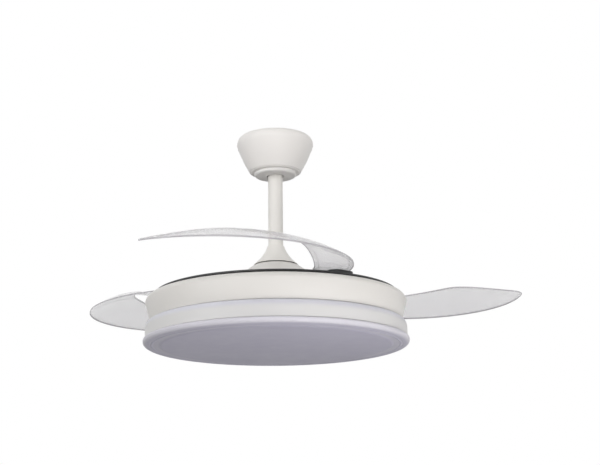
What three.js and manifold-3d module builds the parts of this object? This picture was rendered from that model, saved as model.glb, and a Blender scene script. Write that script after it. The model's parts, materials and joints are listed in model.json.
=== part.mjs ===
// Retractable blade ceiling fan with a round lamp, hung from the ceiling on a short rod.
// Millimetres, +Z up. The origin is the middle of the bracket face that is screwed to the ceiling,
// so the whole fan hangs below it. The blades stand part open, as they do while the fan runs up.
import * as THREE from 'three';
import { mergeVertices } from 'three/addons/utils/BufferGeometryUtils.js';
import Module from 'manifold-3d';

const wasm = await Module();
wasm.setup();

// ---- Driving dimensions -------------------------------------------------------------------
const gap = 0.3; // working clearance between pieces that touch
const runningGap = 1; // clearance beside pieces that spin

// ceiling bracket
const bracketPlateRadius = 52;
const bracketSheet = 2.5;
const bracketArmSpacing = 96; // between the outer faces of the two arms
const bracketArmWidth = 30;
const ceilingSlotSpacing = 70;
const ceilingSlotLength = 14;
const ceilingSlotWidth = 5.5;
const cableHoleRadius = 9;
const cableHoleOffset = 28;

// hanger ball
const ballRadius = 27;
const ballCentreDrop = 46; // below the ceiling
const ballTopCut = 12; // flat above the centre
const ballBottomCut = 19; // flat below the centre
const seatDepth = 7; // top of the seat ring below the ball's centre

// canopy
const canopyTopRadius = 60;
const canopyWidestRadius = 74;
const canopyShoulder = 14; // height of the rounded shoulder
const canopyHeight = 72.5;
const canopyBottomRadius = 48.5;
const canopyBulge = 1.8; // how far the cone's side swells
const canopyWall = 1.6;
const neckRadius = 41;
const neckHeight = 6.5;
const tiltGap = 2; // room round the rod for the ball's tilt
const canopyScrewDrop = 22;
const canopyScrewRadius = 2.2;

// down rod
const rodRadius = 14.2;
const rodWall = 2;
const rodTopDrop = 37; // rod's upper end below the ceiling
const rodLength = 211.5;

// coupling between rod and motor
const yokeRadius = 19.5;
const yokeSocketDepth = 17;
const yokeFloor = 14.5;
const couplingPinRadius = 3;
const clevisPinTail = 3; // beyond the yoke
const clipThickness = 1;
const bellTopRadius = 16;
const bellBottomRadius = 42;
const bellHeight = 36.5;
const bellDrop = 6.5; // bell's lower edge below the rod's end
const bellWall = 1.5;
const bellFlare = 4; // hollow of the bell's side
const domeGap = 1.2; // dark line between the bell and the dome

// motor
const shaftRadius = 9.5;
const shaftBore = 6.5;
const shaftCollar = 3.5; // the shaft's thicker part, beyond its radius
const shaftStub = 8; // thread below the chassis
const nutRadius = 16; // across corners
const leadRadius = 1.4;
const bearingRadius = 22;
const bearingHeight = 9;
const bearingLipWidth = 3; // plate's edge over the bearing
const motorRadius = 78;
const motorWall = 4;
const motorHeight = 46;
const motorPlate = 3.5;
const hubWall = 5;
const magnetThickness = 3.5;
const airGap = 1;
const statorHeight = 16;
const statorTeeth = 12;
const toothWidth = 7;
const poleShoe = 7;
const statorHub = 30;
const windingOverhang = 6;

// spinning disc and dome
const discInset = 16; // inside the housing's widest edge
const discThickness = 3;
const discLip = 4; // height of the rim
const discDrop = 65.6; // disc's top face below the rod's end
const domeFootRadius = 138;
const domeFlange = 10;
const domeWall = 2;
const domeSeamRadius = 41.5;
const domeFullnessRatio = 1.1; // how soon the dome falls away from its top
const domeSteps = 5;

// blades
const bladeCount = 3;
const firstPivotAngle = -58; // seen from above, degrees from +X
const pivotInset = 18; // inside the disc's edge
const bladeInset = 1; // folded, inside the disc's edge
const bladeThickness = 2.4;
const bladeTail = 5; // degrees behind the pivot
const bladeSpan = 135.5; // degrees from pivot to tip, folded
const bladeRootWidth = 66;
const bladeHumpWidth = 96;
const bladeTipWidth = 14;
const bladeHumpShare = 0.66; // of the blade's length
const bladeTipCurveRatio = 2.2; // how full the edge is from the hump to the tip
const bladePitchRatio = 0.343; // rise per mm of width
const bladeCamberRatio = 0.73; // how much steeper the outer side is than the inner one
const bladePitchShares = [0.06, 0.32]; // where the blade takes up its pitch
const bladeDroop = 1.6; // tip's outer edge below the root's, in the blade's own plane
const bladeDroopStart = 0.08; // of the blade's length
const bladeDroopRatio = 1; // how late the droop sets in
const pivotLean = 1.8; // degrees that the pins lean outward, so a folded tip rides over the next root
const bladeOpening = 70.6; // degrees from folded, as photographed
const bladeHubRadius = 13;
const bladeHubHeight = 2.6;
const bracketLength = 50;
const bracketWidth = 32;
const bracketHeight = 5;
const pivotPinRadius = 4;
const pivotHeadRadius = 7.5;
const pivotHeadHeight = 1;
const bushWall = 1.8;
const springRadius = 8;
const springWire = 0.5; // radius of the wire
const springTurns = 1.75;

// drum
const housingTopRadius = 246;
const housingTaper = 9.3; // how far the side runs in down to the seam
const housingHeight = 46.8;
const housingRoundOver = 11;
const housingWall = 2.5;
const housingTopDrop = 6.6; // housing's top below the disc's top face
const housingOpening = 84;
const ringHeight = 31.6;
const ringShoulder = 15;
const seamGap = 0.8;
const chassisThickness = 2.5;

// lamp
const panThickness = 1.5;
const panDrop = 9; // below the chassis
const ledBoardInset = 18; // inside the pan's screws
const ledBoardThickness = 1.6;
const ledRowCount = 3;
const ledRowInset = 18; // outer row inside the board's edge
const ledRowSpacing = 50;
const ledPitch = 110; // along each row
const ledSize = 5;
const ledHeight = 1;
const diffuserOverhang = 4; // beyond the ring
const diffuserDepth = 12;
const diffuserWall = 2;
const diffuserRound = 9; // rounded lower edge
const diffuserTopEdge = 0.6; // small slope under the ring
const diffuserTopRamp = 1.6; // and its height
const diffuserRoundDegrees = [-15, -75]; // stretch of the round that is modelled
const diffuserWidestShare = 0.6; // of the depth
const diffuserBeadInset = 17; // bead's middle inside the widest edge
const diffuserBeadHalf = 2.5;
const diffuserBeadDrop = 0.5;
const diffuserTrayInset = 32; // tray's edge inside the widest edge
const diffuserGroove = 0.6; // between the bead and the tray
const diffuserTrayRamp = 6;
const diffuserTrayLip = 1; // height of the tray's edge above its floor
const diffuserTrayStep = 1.2;
const tabCount = 3;
const tabWidth = 24; // degrees of arc
const lipWidth = 26; // degrees of arc
const lipReach = 4; // inward from the ring's wall
const collarGap = 1;

// boxes and fixings
const receiverSize = [76, 36, 18];
const driverSize = [46, 118, 24];
const driverOffset = -150;
const terminalSize = [22, 44, 16];
const terminalOffset = 128;
const screwRadius = 2;
const screwHeadRadius = 4;
const screwHeadHeight = 2;
const screwCount = 3; // in each circle
const housingScrewInset = 14.7; // inside the housing's foot
const housingScrewAngle = 30; // first one, degrees
const panScrewInset = 26; // inside the housing's screws
const panScrewAngle = 90;
const domeScrewInset = 5; // inside the dome's edge

// facets round a circle
const tiny = 8;
const coarse = 10;
const medium = 20;
const smooth = 24;
const fine = 36;

// ---- Materials ------------------------------------------------------------------------------
const material = (color, roughness, metalness = 0, extra = {}) =>
  new THREE.MeshStandardMaterial({ color, roughness, metalness, ...extra });
const whitePaint = material(0xe6e4e0, 0.42);
const whitePlastic = material(0xe2e0de, 0.35);
const blackSteel = material(0x161616, 0.4, 0.3);
const clearBlade = material(0xd9d6dc, 0.18, 0, { transparent: true, opacity: 0.55 });
const opal = material(0xd4d1dd, 0.45);
const zinc = material(0xb9bcc0, 0.38, 0.9);
const steel = material(0xc6c8ca, 0.28, 1);
const castAluminium = material(0xa9abad, 0.5, 0.8);
const laminations = material(0x5c5f63, 0.5, 0.7);
const copper = material(0xb8673a, 0.35, 0.9);
const magnetGrey = material(0x3a3b3e, 0.55, 0.4);
const blackPlastic = material(0x1d1d1f, 0.5);
const nylon = material(0xdedbd2, 0.5);
const boardWhite = material(0xf1f0ea, 0.5);
const cableGrey = material(0x8c8f94, 0.6);

// ---- Shape helpers --------------------------------------------------------------------------
// A closed geometry as a solid that can be joined and cut.
function solid(geometry) {
  const bare = geometry.clone();
  bare.deleteAttribute('normal');
  bare.deleteAttribute('uv');
  const merged = mergeVertices(bare, 1e-4);
  const place = merged.getAttribute('position');
  const index = merged.getIndex().array;
  const a = new THREE.Vector3();
  const b = new THREE.Vector3();
  const c = new THREE.Vector3();
  let volume = 0;
  let triangles = [];
  for (let i = 0; i < index.length; i += 3) {
    const corners = [index[i], index[i + 1], index[i + 2]];
    if (new Set(corners).size < 3) continue;
    [a, b, c].forEach((point, k) => point.fromBufferAttribute(place, corners[k]));
    volume += a.dot(b.cross(c));
    triangles.push(corners);
  }
  if (volume < 0) triangles = triangles.map(([p, q, r]) => [p, r, q]);
  return new wasm.Manifold(new wasm.Mesh({
    numProp: 3,
    vertProperties: new Float32Array(place.array),
    triVerts: new Uint32Array(triangles.flat()),
  }));
}

// A ring or disc turned about Z from its [radius, height] outline.
function turned(outline, facets) {
  const points = outline.map(([r, z]) => new THREE.Vector2(r, z));
  const onAxis = outline[0][0] === 0 && outline.at(-1)[0] === 0;
  if (!onAxis) points.push(points[0].clone());
  return solid(new THREE.LatheGeometry(points, facets).rotateX(Math.PI / 2));
}

function disc(radius, bottom, top, facets = coarse) {
  return turned([[0, bottom], [radius, bottom], [radius, top], [0, top]], facets);
}

function tube(inner, outer, bottom, top, facets = coarse) {
  return turned([[inner, bottom], [outer, bottom], [outer, top], [inner, top]], facets);
}

function box(sizeX, sizeY, sizeZ, x, y, z) {
  return solid(new THREE.BoxGeometry(sizeX, sizeY, sizeZ).translate(x, y, z));
}

const join = (first, ...rest) => rest.reduce((sum, piece) => sum.add(piece), first);
const cut = (first, ...rest) => rest.reduce((sum, piece) => sum.subtract(piece), first);

// Points of a quarter-round corner between two directions, for a turned outline.
function arc(centreR, centreZ, radiusR, radiusZ, fromDegrees, toDegrees, steps) {
  return Array.from({ length: steps + 1 }, (_, i) => {
    const angle = THREE.MathUtils.degToRad(fromDegrees + ((toDegrees - fromDegrees) * i) / steps);
    return [centreR + radiusR * Math.cos(angle), centreZ + radiusZ * Math.sin(angle)];
  });
}

// A side that runs from one point to another and is hollowed toward the axis by sag.
function hollowSide([r0, z0], [r1, z1], sag, steps) {
  return Array.from({ length: steps + 1 }, (_, i) => {
    const share = i / steps;
    const bow = 4 * share * (1 - share) * sag;
    return [r0 + (r1 - r0) * share - bow, z0 + (z1 - z0) * share];
  });
}

// Turns a solid about Z.
const spun = (piece, degrees) => piece.rotate([0, 0, degrees]);

// Evenly spaced angles round the fan's axis.
const around = (count, first = 0) => Array.from({ length: count }, (_, i) => first + (360 * i) / count);

function mesh(name, piece, look) {
  const { vertProperties, triVerts } = piece.getMesh();
  const geometry = new THREE.BufferGeometry();
  geometry.setAttribute('position', new THREE.BufferAttribute(new Float32Array(vertProperties), 3));
  geometry.setIndex(new THREE.BufferAttribute(new Uint32Array(triVerts), 1));
  geometry.computeVertexNormals();
  const result = new THREE.Mesh(geometry, look);
  result.name = name;
  return result;
}

// ---- Radii and levels -----------------------------------------------------------------------
// What follows the drum's own radius.
const housingBottomRadius = housingTopRadius - housingTaper;
const ringRadius = housingTopRadius;
const discRadius = housingTopRadius - discInset;
const pivotRadius = discRadius - pivotInset;
const bladeOuterRadius = discRadius - bladeInset;
const diffuserRadius = ringRadius + diffuserOverhang;
const housingScrewCircle = housingBottomRadius - housingScrewInset;
const panScrewCircle = housingScrewCircle - panScrewInset;
const ledBoardRadius = panScrewCircle - ledBoardInset;
const domeScrewCircle = domeFootRadius - domeScrewInset;
// Ceiling end, below the ceiling face.
const seatTop = -ballCentreDrop - seatDepth;
const seatBottom = seatTop - bracketSheet;
const seatRadius = Math.sqrt(ballRadius ** 2 - seatDepth ** 2) + 2 * gap;
const rodEnd = -rodTopDrop - rodLength;
// Motor and drum, in the frame of the head group, whose zero is the rod's lower end.
const bellBottom = -bellDrop;
const domeTop = bellBottom - domeGap;
const discTop = -discDrop;
const discBottom = discTop - discThickness;
const motorTop = discBottom - gap;
const motorBottom = motorTop - motorHeight;
const housingTop = discTop - housingTopDrop;
const seam = housingTop - housingHeight;
const chassisTop = seam - gap;
const chassisBottom = chassisTop - chassisThickness;
const ringBottom = seam - seamGap - ringHeight;
const lampBottom = ringBottom - diffuserDepth;
const panTop = chassisBottom - panDrop;
const boardTop = panTop - panThickness - gap;
const bracketTop = discTop + gap + bracketHeight;
const bladeSeat = bracketTop + gap;
const yokeBottom = -gap - yokeFloor;
const bearingBore = shaftRadius + gap;
const hubRadius = bearingRadius + gap + hubWall;

// ---- Ceiling bracket, canopy and what is in it -----------------------------------------------
function hangerBracket() {
  const armHeight = -seatBottom;
  const armX = bracketArmSpacing / 2 - bracketSheet / 2;
  const arms = [-1, 1].map((side) => box(
    bracketSheet, bracketArmWidth, armHeight, side * armX, 0, seatBottom / 2,
  ));
  const seatRing = box(bracketArmSpacing, bracketArmWidth * 2, bracketSheet, 0, 0, (seatTop + seatBottom) / 2)
    .intersect(disc(bracketArmSpacing / 2, seatBottom, seatTop, medium));
  const earRoom = 4 * canopyScrewRadius + canopyWall; // left for the canopy to pass
  const earLength = canopyWidestRadius - canopyWall - gap - bracketArmSpacing / 2 - earRoom;
  const ears = [-1, 1].map((side) => box(
    earLength, bracketArmWidth / 2, 4 * canopyScrewRadius,
    side * (bracketArmSpacing / 2 + earLength / 2 - gap), 0, -canopyScrewDrop,
  ));
  const slots = [-1, 1].map((side) => box(
    ceilingSlotLength, ceilingSlotWidth, 3 * bracketSheet, (side * ceilingSlotSpacing) / 2, 0, 0,
  ));
  return cut(
    join(disc(bracketPlateRadius, -bracketSheet, 0, medium), ...arms, seatRing, ...ears),
    ...slots,
    disc(cableHoleRadius, -2 * bracketSheet, bracketSheet).translate([0, cableHoleOffset, 0]),
    disc(seatRadius, seatBottom - gap, seatTop + gap, medium),
    ...[-1, 1].map((side) => canopyScrewBody(side, canopyScrewRadius + gap)),
  );
}

// Shank of a canopy screw, pointing at the axis.
function canopyScrewBody(side, radius) {
  const inner = bracketArmSpacing / 2 + bracketSheet;
  const outer = canopyWidestRadius + gap + canopyWall / 2;
  return solid(new THREE.CylinderGeometry(radius, radius, outer - inner, coarse).rotateZ(Math.PI / 2))
    .translate([(side * (inner + outer)) / 2, 0, -canopyScrewDrop]);
}

function canopyScrew(side) {
  const headRadius = 2 * canopyScrewRadius;
  const headX = side * (canopyWidestRadius + gap + canopyWall / 2);
  const head = solid(new THREE.CylinderGeometry(headRadius, headRadius, canopyWall, coarse)
    .rotateZ(Math.PI / 2)).translate([headX, 0, -canopyScrewDrop]);
  return join(canopyScrewBody(side, canopyScrewRadius), head);
}

// Outer side of the canopy from the ceiling down, moved inward by inset.
function canopySide(inset) {
  const shoulderFromCeiling = arc(
    canopyTopRadius, -canopyShoulder, canopyWidestRadius - canopyTopRadius - inset,
    canopyShoulder - inset, 90, 0, 3,
  );
  const coneTop = -canopyShoulder - 2 * canopyWall;
  const cone = hollowSide(
    [canopyWidestRadius - inset, coneTop], [canopyBottomRadius - inset, -canopyHeight], -canopyBulge, 4,
  );
  return [...shoulderFromCeiling, ...cone];
}

function canopy() {
  const outside = canopySide(0);
  const inside = canopySide(canopyWall).reverse();
  const lipTop = -canopyHeight + canopyWall;
  inside[0] = [inside[0][0], lipTop];
  const lip = [[neckRadius + gap, -canopyHeight], [neckRadius + gap, lipTop]];
  const shell = turned([...outside, ...lip, ...inside], smooth);
  return cut(shell, ...[-1, 1].map((side) => canopyScrewBody(side, canopyScrewRadius + gap)));
}

function canopyRing() {
  const top = -canopyHeight + canopyWall + gap + canopyWall;
  const flangeRadius = (neckRadius + canopyBottomRadius) / 2;
  const bottom = -canopyHeight - neckHeight;
  return turned([
    [rodRadius + tiltGap, bottom], [neckRadius, bottom], [neckRadius, top - canopyWall],
    [flangeRadius, top - canopyWall], [flangeRadius, top], [neckRadius - canopyWall, top],
    [neckRadius - canopyWall, bottom + canopyWall], [rodRadius + tiltGap, bottom + canopyWall],
  ], smooth);
}

function receiverBox() {
  const [x, y, z] = receiverSize;
  return box(x, y, z, 0, 0, -bracketSheet - gap - z / 2);
}

// ---- Ball, rod and coupling --------------------------------------------------------------------
function hangerBall() {
  const topAngle = THREE.MathUtils.radToDeg(Math.asin(ballTopCut / ballRadius));
  const bottomAngle = THREE.MathUtils.radToDeg(Math.asin(ballBottomCut / ballRadius));
  const side = arc(0, -ballCentreDrop, ballRadius, ballRadius, -bottomAngle, topAngle, 6);
  const bore = rodRadius + gap;
  const shell = turned([
    [bore, -ballCentreDrop - ballBottomCut], ...side, [bore, -ballCentreDrop + ballTopCut],
  ], medium);
  return cut(shell, crossPin(couplingPinRadius + gap, 2 * ballRadius + gap, -ballCentreDrop));
}

// A round bar lying along Y through the axis.
function crossPin(radius, length, z) {
  return solid(new THREE.CylinderGeometry(radius, radius, length, coarse)).translate([0, 0, z]);
}

const ballPin = () => crossPin(couplingPinRadius, 2 * (ballRadius - 2 * couplingPinRadius), -ballCentreDrop);

function downRod() {
  const rod = tube(rodRadius - rodWall, rodRadius, rodEnd, -rodTopDrop, medium);
  return cut(
    rod,
    crossPin(couplingPinRadius + gap, 3 * rodRadius, -ballCentreDrop),
    crossPin(couplingPinRadius + gap, 3 * rodRadius, rodEnd + yokeSocketDepth / 2),
  );
}

function yoke() {
  const bore = rodRadius + gap;
  const cup = turned([
    [shaftRadius + gap, yokeBottom], [yokeRadius, yokeBottom], [yokeRadius, yokeSocketDepth],
    [bore, yokeSocketDepth], [bore, -gap], [shaftRadius + gap, -gap],
  ], medium);
  return cut(
    cup,
    crossPin(couplingPinRadius + gap, 3 * yokeRadius, yokeSocketDepth / 2),
    setScrewBody(screwRadius + gap, shaftRadius / 2),
  );
}

// The screw that locks the yoke on the shaft, along +X from its point to under its head.
function setScrewBody(radius, inner = shaftRadius + gap) {
  const length = yokeRadius + 3 * gap - inner;
  return solid(new THREE.CylinderGeometry(radius, radius, length, coarse).rotateZ(Math.PI / 2))
    .translate([inner + length / 2, 0, yokeBottom / 2]);
}

function yokeSetScrew() {
  const head = solid(new THREE.CylinderGeometry(screwHeadRadius, screwHeadRadius, screwHeadHeight, 6)
    .rotateZ(Math.PI / 2)).translate([yokeRadius + 2 * gap + screwHeadHeight / 2, 0, yokeBottom / 2]);
  return join(setScrewBody(screwRadius), head);
}

const clevisPinReach = yokeRadius + clevisPinTail;
function clevisPin() {
  const headThickness = couplingPinRadius / 2;
  const head = crossPin(couplingPinRadius * 1.5, headThickness, 0)
    .translate([0, yokeRadius + gap + headThickness / 2, yokeSocketDepth / 2]);
  const shankLength = clevisPinReach + yokeRadius + gap;
  const shank = crossPin(couplingPinRadius, shankLength, yokeSocketDepth / 2)
    .translate([0, (yokeRadius + gap - clevisPinReach) / 2 + headThickness / 2, 0]);
  return join(head, shank);
}

// Spring clip on the pin's far end: a small washer with a slot.
function pinClip() {
  const inner = couplingPinRadius + gap;
  const outer = couplingPinRadius * 1.9;
  const ring = tube(inner, outer, 0, clipThickness).rotate([-90, 0, 0]);
  const mouthDepth = 2 * couplingPinRadius;
  const mouth = box(couplingPinRadius, 3 * clipThickness, mouthDepth, 0, 0, mouthDepth);
  return cut(ring, mouth).translate([0, -yokeRadius - gap - clipThickness, yokeSocketDepth / 2]);
}

function couplingBell() {
  const top = bellBottom + bellHeight;
  const outside = hollowSide([bellBottomRadius, bellBottom], [bellTopRadius, top], bellFlare, 5);
  const bore = rodRadius + gap;
  const insideFoot = [bellBottomRadius - bellWall, bellBottom];
  const inside = hollowSide(insideFoot, [bellTopRadius, top - bellWall], bellFlare, 5)
    .map(([r, z]) => [Math.max(r - bellWall / 2, bore), z])
    .reverse();
  return turned([...outside, [bore, top], [bore, top - bellWall], ...inside.slice(1)], smooth);
}

// ---- Motor ----------------------------------------------------------------------------------
const shaftFoot = chassisBottom - 3 * gap - shaftStub;
function motorShaft() {
  const collarRadius = shaftRadius + shaftCollar;
  const collar = [
    [shaftRadius, chassisTop + gap], [collarRadius, chassisTop + gap],
    [collarRadius, motorBottom - runningGap], [shaftRadius, motorBottom - runningGap],
  ];
  return turned([
    [shaftBore, shaftFoot], [shaftRadius, shaftFoot], ...collar,
    [shaftRadius, -2 * gap], [shaftBore, -2 * gap],
  ], medium);
}

function bearing(bottom) {
  const top = bottom + bearingHeight;
  const groove = bearingHeight / 9;
  const inner = bearingBore + bearingHeight / 3;
  const outer = bearingRadius - bearingHeight / 3;
  return turned([
    [bearingBore, bottom], [bearingRadius, bottom], [bearingRadius, top], [outer, top], [outer, top - groove],
    [inner, top - groove], [inner, top], [bearingBore, top],
  ], medium);
}

const hubHeight = bearingHeight + 2 * gap + motorPlate;
const bearingLip = bearingRadius - bearingLipWidth;

// Upper half of the motor's spinning case: a plate with a raised bearing hub and the side wall.
function rotorTopCover() {
  const hubTop = motorTop + hubHeight;
  const seat = motorTop;
  return turned([
    [bearingLip, motorTop - motorPlate], [motorRadius - motorWall, motorTop - motorPlate],
    [motorRadius - motorWall, motorBottom + motorPlate + gap], [motorRadius, motorBottom + motorPlate + gap],
    [motorRadius, motorTop], [hubRadius, motorTop], [hubRadius, hubTop], [bearingRadius + gap, hubTop],
    [bearingRadius + gap, seat], [bearingLip, seat],
  ], medium);
}

// Lower half: a plate with a bearing hub that stands up inside the motor.
function rotorBottomCover() {
  const hubTop = motorBottom + hubHeight;
  return turned([
    [bearingLip, motorBottom], [motorRadius, motorBottom], [motorRadius, motorBottom + motorPlate],
    [hubRadius, motorBottom + motorPlate], [hubRadius, hubTop], [bearingRadius + gap, hubTop],
    [bearingRadius + gap, motorBottom + motorPlate], [bearingLip, motorBottom + motorPlate],
  ], medium);
}

const upperBearing = () => bearing(motorTop + gap);
const lowerBearing = () => bearing(motorBottom + motorPlate + gap);

const magnetOuter = motorRadius - motorWall - gap;
const magnetInner = magnetOuter - magnetThickness;
const statorRadius = magnetInner - airGap;
const statorMiddle = (motorTop - motorPlate + motorBottom + hubHeight) / 2;
const statorBottom = statorMiddle - statorHeight / 2;
const statorTop = statorMiddle + statorHeight / 2;

function magnetRing() {
  return tube(
    magnetInner, magnetOuter, statorBottom - windingOverhang / 2, statorTop + windingOverhang / 2, medium,
  );
}

// Radial teeth of the stator, from its hub to its pole shoes, each side larger by clearance.
function statorSpokes(clearance) {
  const length = statorRadius - poleShoe / 2;
  return around(statorTeeth).map((angle) => spun(
    box(length, toothWidth + 2 * clearance, statorHeight + 2 * clearance, length / 2, 0, statorMiddle),
    angle,
  ));
}

function statorCore() {
  const shoes = tube(statorRadius - poleShoe, statorRadius, statorBottom, statorTop, smooth);
  const slots = around(statorTeeth, 180 / statorTeeth).map((angle) => spun(
    box(2 * poleShoe, 4 * gap, statorHeight + 2 * gap, statorRadius - poleShoe / 2, 0, statorMiddle), angle,
  ));
  const hub = disc(statorHub, statorBottom, statorTop, medium);
  const shaftHole = disc(shaftRadius + gap, statorBottom - gap, statorTop + gap, medium);
  return cut(join(hub, ...statorSpokes(0), cut(shoes, ...slots)), shaftHole);
}

function statorWinding() {
  const ring = tube(
    statorHub + gap, statorRadius - poleShoe - gap,
    statorBottom - windingOverhang, statorTop + windingOverhang, smooth,
  );
  return cut(ring, ...statorSpokes(gap));
}

// ---- Spinning disc, dome and blades ------------------------------------------------------------
function rotorDisc() {
  const lipInner = discRadius - discThickness;
  const plate = turned([
    [hubRadius + gap, discBottom], [lipInner, discBottom], [lipInner, discTop - discLip],
    [discRadius, discTop - discLip], [discRadius, discTop], [hubRadius + gap, discTop],
  ], fine);
  const pinHoles = pivots.map(({ x, y }) => disc(pivotPinRadius + gap, discBottom - gap, discTop + gap)
    .translate([x, y, 0]));
  const domeHoles = screwHoles(domeScrewCircle, domeScrewAngles, discBottom - gap, discTop + gap);
  return cut(plate, ...pinHoles, ...domeHoles);
}

// Clearance holes for a circle of screws.
function screwHoles(circle, angles, bottom, top) {
  return angles.map((angle) => spun(
    disc(screwRadius + gap, bottom, top, tiny).translate([circle, 0, 0]), angle,
  ));
}

const domeScrewAngles = around(screwCount, 90);
const domeFoot = discTop + gap;
const domeHole = yokeRadius + 4 * runningGap;

// The dome's upper side from the seam under the bell to its foot, moved down by inset.
function domeSide(inset) {
  const height = domeTop - domeFoot - domeWall;
  const shoulder = domeFootRadius - domeFlange;
  return Array.from({ length: domeSteps + 1 }, (_, i) => {
    const share = i / domeSteps;
    const radius = domeSeamRadius + (shoulder - domeSeamRadius) * share;
    const fall = 1 - (1 - share) ** domeFullnessRatio;
    return [radius - inset * share, domeTop - height * fall - inset];
  });
}

function domeCover() {
  const shoulder = domeFootRadius - domeFlange;
  const outside = [
    [domeHole, domeTop], ...domeSide(0), [domeFootRadius, domeFoot + domeWall],
    [domeFootRadius, domeFoot], [shoulder - 2 * domeWall, domeFoot],
  ];
  const inside = [...domeSide(domeWall).slice(0, -1).reverse(), [domeHole, domeTop - domeWall]];
  const shell = turned([...outside, ...inside], smooth);
  return cut(
    shell,
    ...screwHoles(domeScrewCircle, domeScrewAngles, domeFoot - gap, domeFoot + 3 * domeWall),
  );
}

// A pan-head screw along Z: the head stands on the level top, or hangs under it.
function screw(top, length, upward = false) {
  const shank = disc(screwRadius, top - length, top + screwHeadHeight / 2, tiny);
  const head = disc(screwHeadRadius, top, top + screwHeadHeight, 12);
  const piece = join(shank, head);
  return upward ? piece.mirror([0, 0, 1]).translate([0, 0, 2 * top]) : piece;
}

const pivots = around(bladeCount, firstPivotAngle).map((angle) => ({
  angle,
  x: pivotRadius * Math.cos(THREE.MathUtils.degToRad(angle)),
  y: pivotRadius * Math.sin(THREE.MathUtils.degToRad(angle)),
}));

// Every piece at a pivot is built with the pin on Z and the fan's axis on its -X side. The pin,
// the bush and the blade then lean outward about the middle of the disc.
const discMiddle = (discTop + discBottom) / 2;
const leaned = (piece) => piece
  .translate([0, 0, -discMiddle]).rotate([0, pivotLean, 0]).translate([0, 0, discMiddle]);

// The bracket lies flat on the disc, and its top is square to the leaning pin.
function bladeBracket() {
  const radius = bracketWidth / 2;
  const half = bracketLength / 2 - radius;
  const outline = new THREE.Shape()
    .absarc(0, half, radius, 0, Math.PI, false)
    .absarc(0, -half, radius, Math.PI, 2 * Math.PI, false)
    .closePath();
  const block = solid(new THREE.ExtrudeGeometry(outline, {
    depth: 2 * bracketHeight, bevelEnabled: false, curveSegments: tiny,
  })).translate([0, 0, discTop + gap]);
  const pocketFloor = discTop + gap + springWire;
  return cut(
    block,
    leaned(disc(bracketLength, bracketTop, bracketTop + 2 * bracketHeight)),
    leaned(disc(pivotPinRadius + gap, discBottom, bladeSeat)),
    disc(springRadius + springWire + gap, pocketFloor, bladeSeat + gap),
  );
}

function pivotPin() {
  const headBottom = bladeSeat + bladeHubHeight + gap;
  return join(
    disc(pivotPinRadius, discBottom, headBottom),
    disc(pivotHeadRadius, headBottom, headBottom + pivotHeadHeight),
  );
}

// Torsion spring round the pin, in the bracket's pocket: one wire from end to end.
class Helix extends THREE.Curve {
  constructor(radius, rise, turns) {
    super();
    Object.assign(this, { radius, rise, turns });
  }

  getPoint(share, target = new THREE.Vector3()) {
    const angle = share * this.turns * 2 * Math.PI;
    return target.set(this.radius * Math.cos(angle), this.radius * Math.sin(angle), this.rise * share);
  }
}

function pivotSpring() {
  const pocket = bracketHeight - springWire;
  const path = new Helix(springRadius - springWire, pocket - 2 * springWire - 2 * gap, springTurns);
  const section = new THREE.Shape().absarc(0, 0, springWire, 0, 2 * Math.PI, false);
  const wire = new THREE.ExtrudeGeometry(section, {
    steps: springTurns * tiny, extrudePath: path, curveSegments: 3,
  });
  return solid(wire).translate([0, 0, discTop + gap + 2 * springWire + gap]);
}

const bushRadius = pivotPinRadius + gap + bushWall;
const pivotBush = () => tube(pivotPinRadius + gap, bushRadius, bladeSeat, bladeSeat + bladeHubHeight);

const ease = ([from, to], value) => THREE.MathUtils.smoothstep(value, from, to);

// Width of the blade along its length: even from the root, out to the hump, then cut to the tip.
function bladeWidth(share) {
  const body = bladeRootWidth + (bladeHumpWidth - bladeRootWidth) * ease([0, bladeHumpShare], share);
  if (share <= bladeHumpShare) return body;
  const past = (share - bladeHumpShare) / (1 - bladeHumpShare);
  return bladeTipWidth + (bladeHumpWidth - bladeTipWidth) * (1 - past ** bladeTipCurveRatio);
}

// A point of the blade's middle surface, folded: share runs from root to tip and across from the
// outer edge to the inner one. The folded outer edge is an arc about the fan's own axis.
function bladePoint(share, across) {
  const angle = THREE.MathUtils.degToRad(bladeTail - (bladeTail + bladeSpan) * share);
  const width = bladeWidth(share);
  const radius = bladeOuterRadius - width * across;
  const pitch = bladePitchRatio * ease(bladePitchShares, share);
  const rise = width * pitch * across * (1 + bladeCamberRatio * (1 - across));
  const beyond = Math.max(0, (share - bladeDroopStart) / (1 - bladeDroopStart));
  const edge = -bladeDroop * beyond ** bladeDroopRatio;
  return [radius * Math.cos(angle) - pivotRadius, radius * Math.sin(angle), rise + edge];
}

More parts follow.
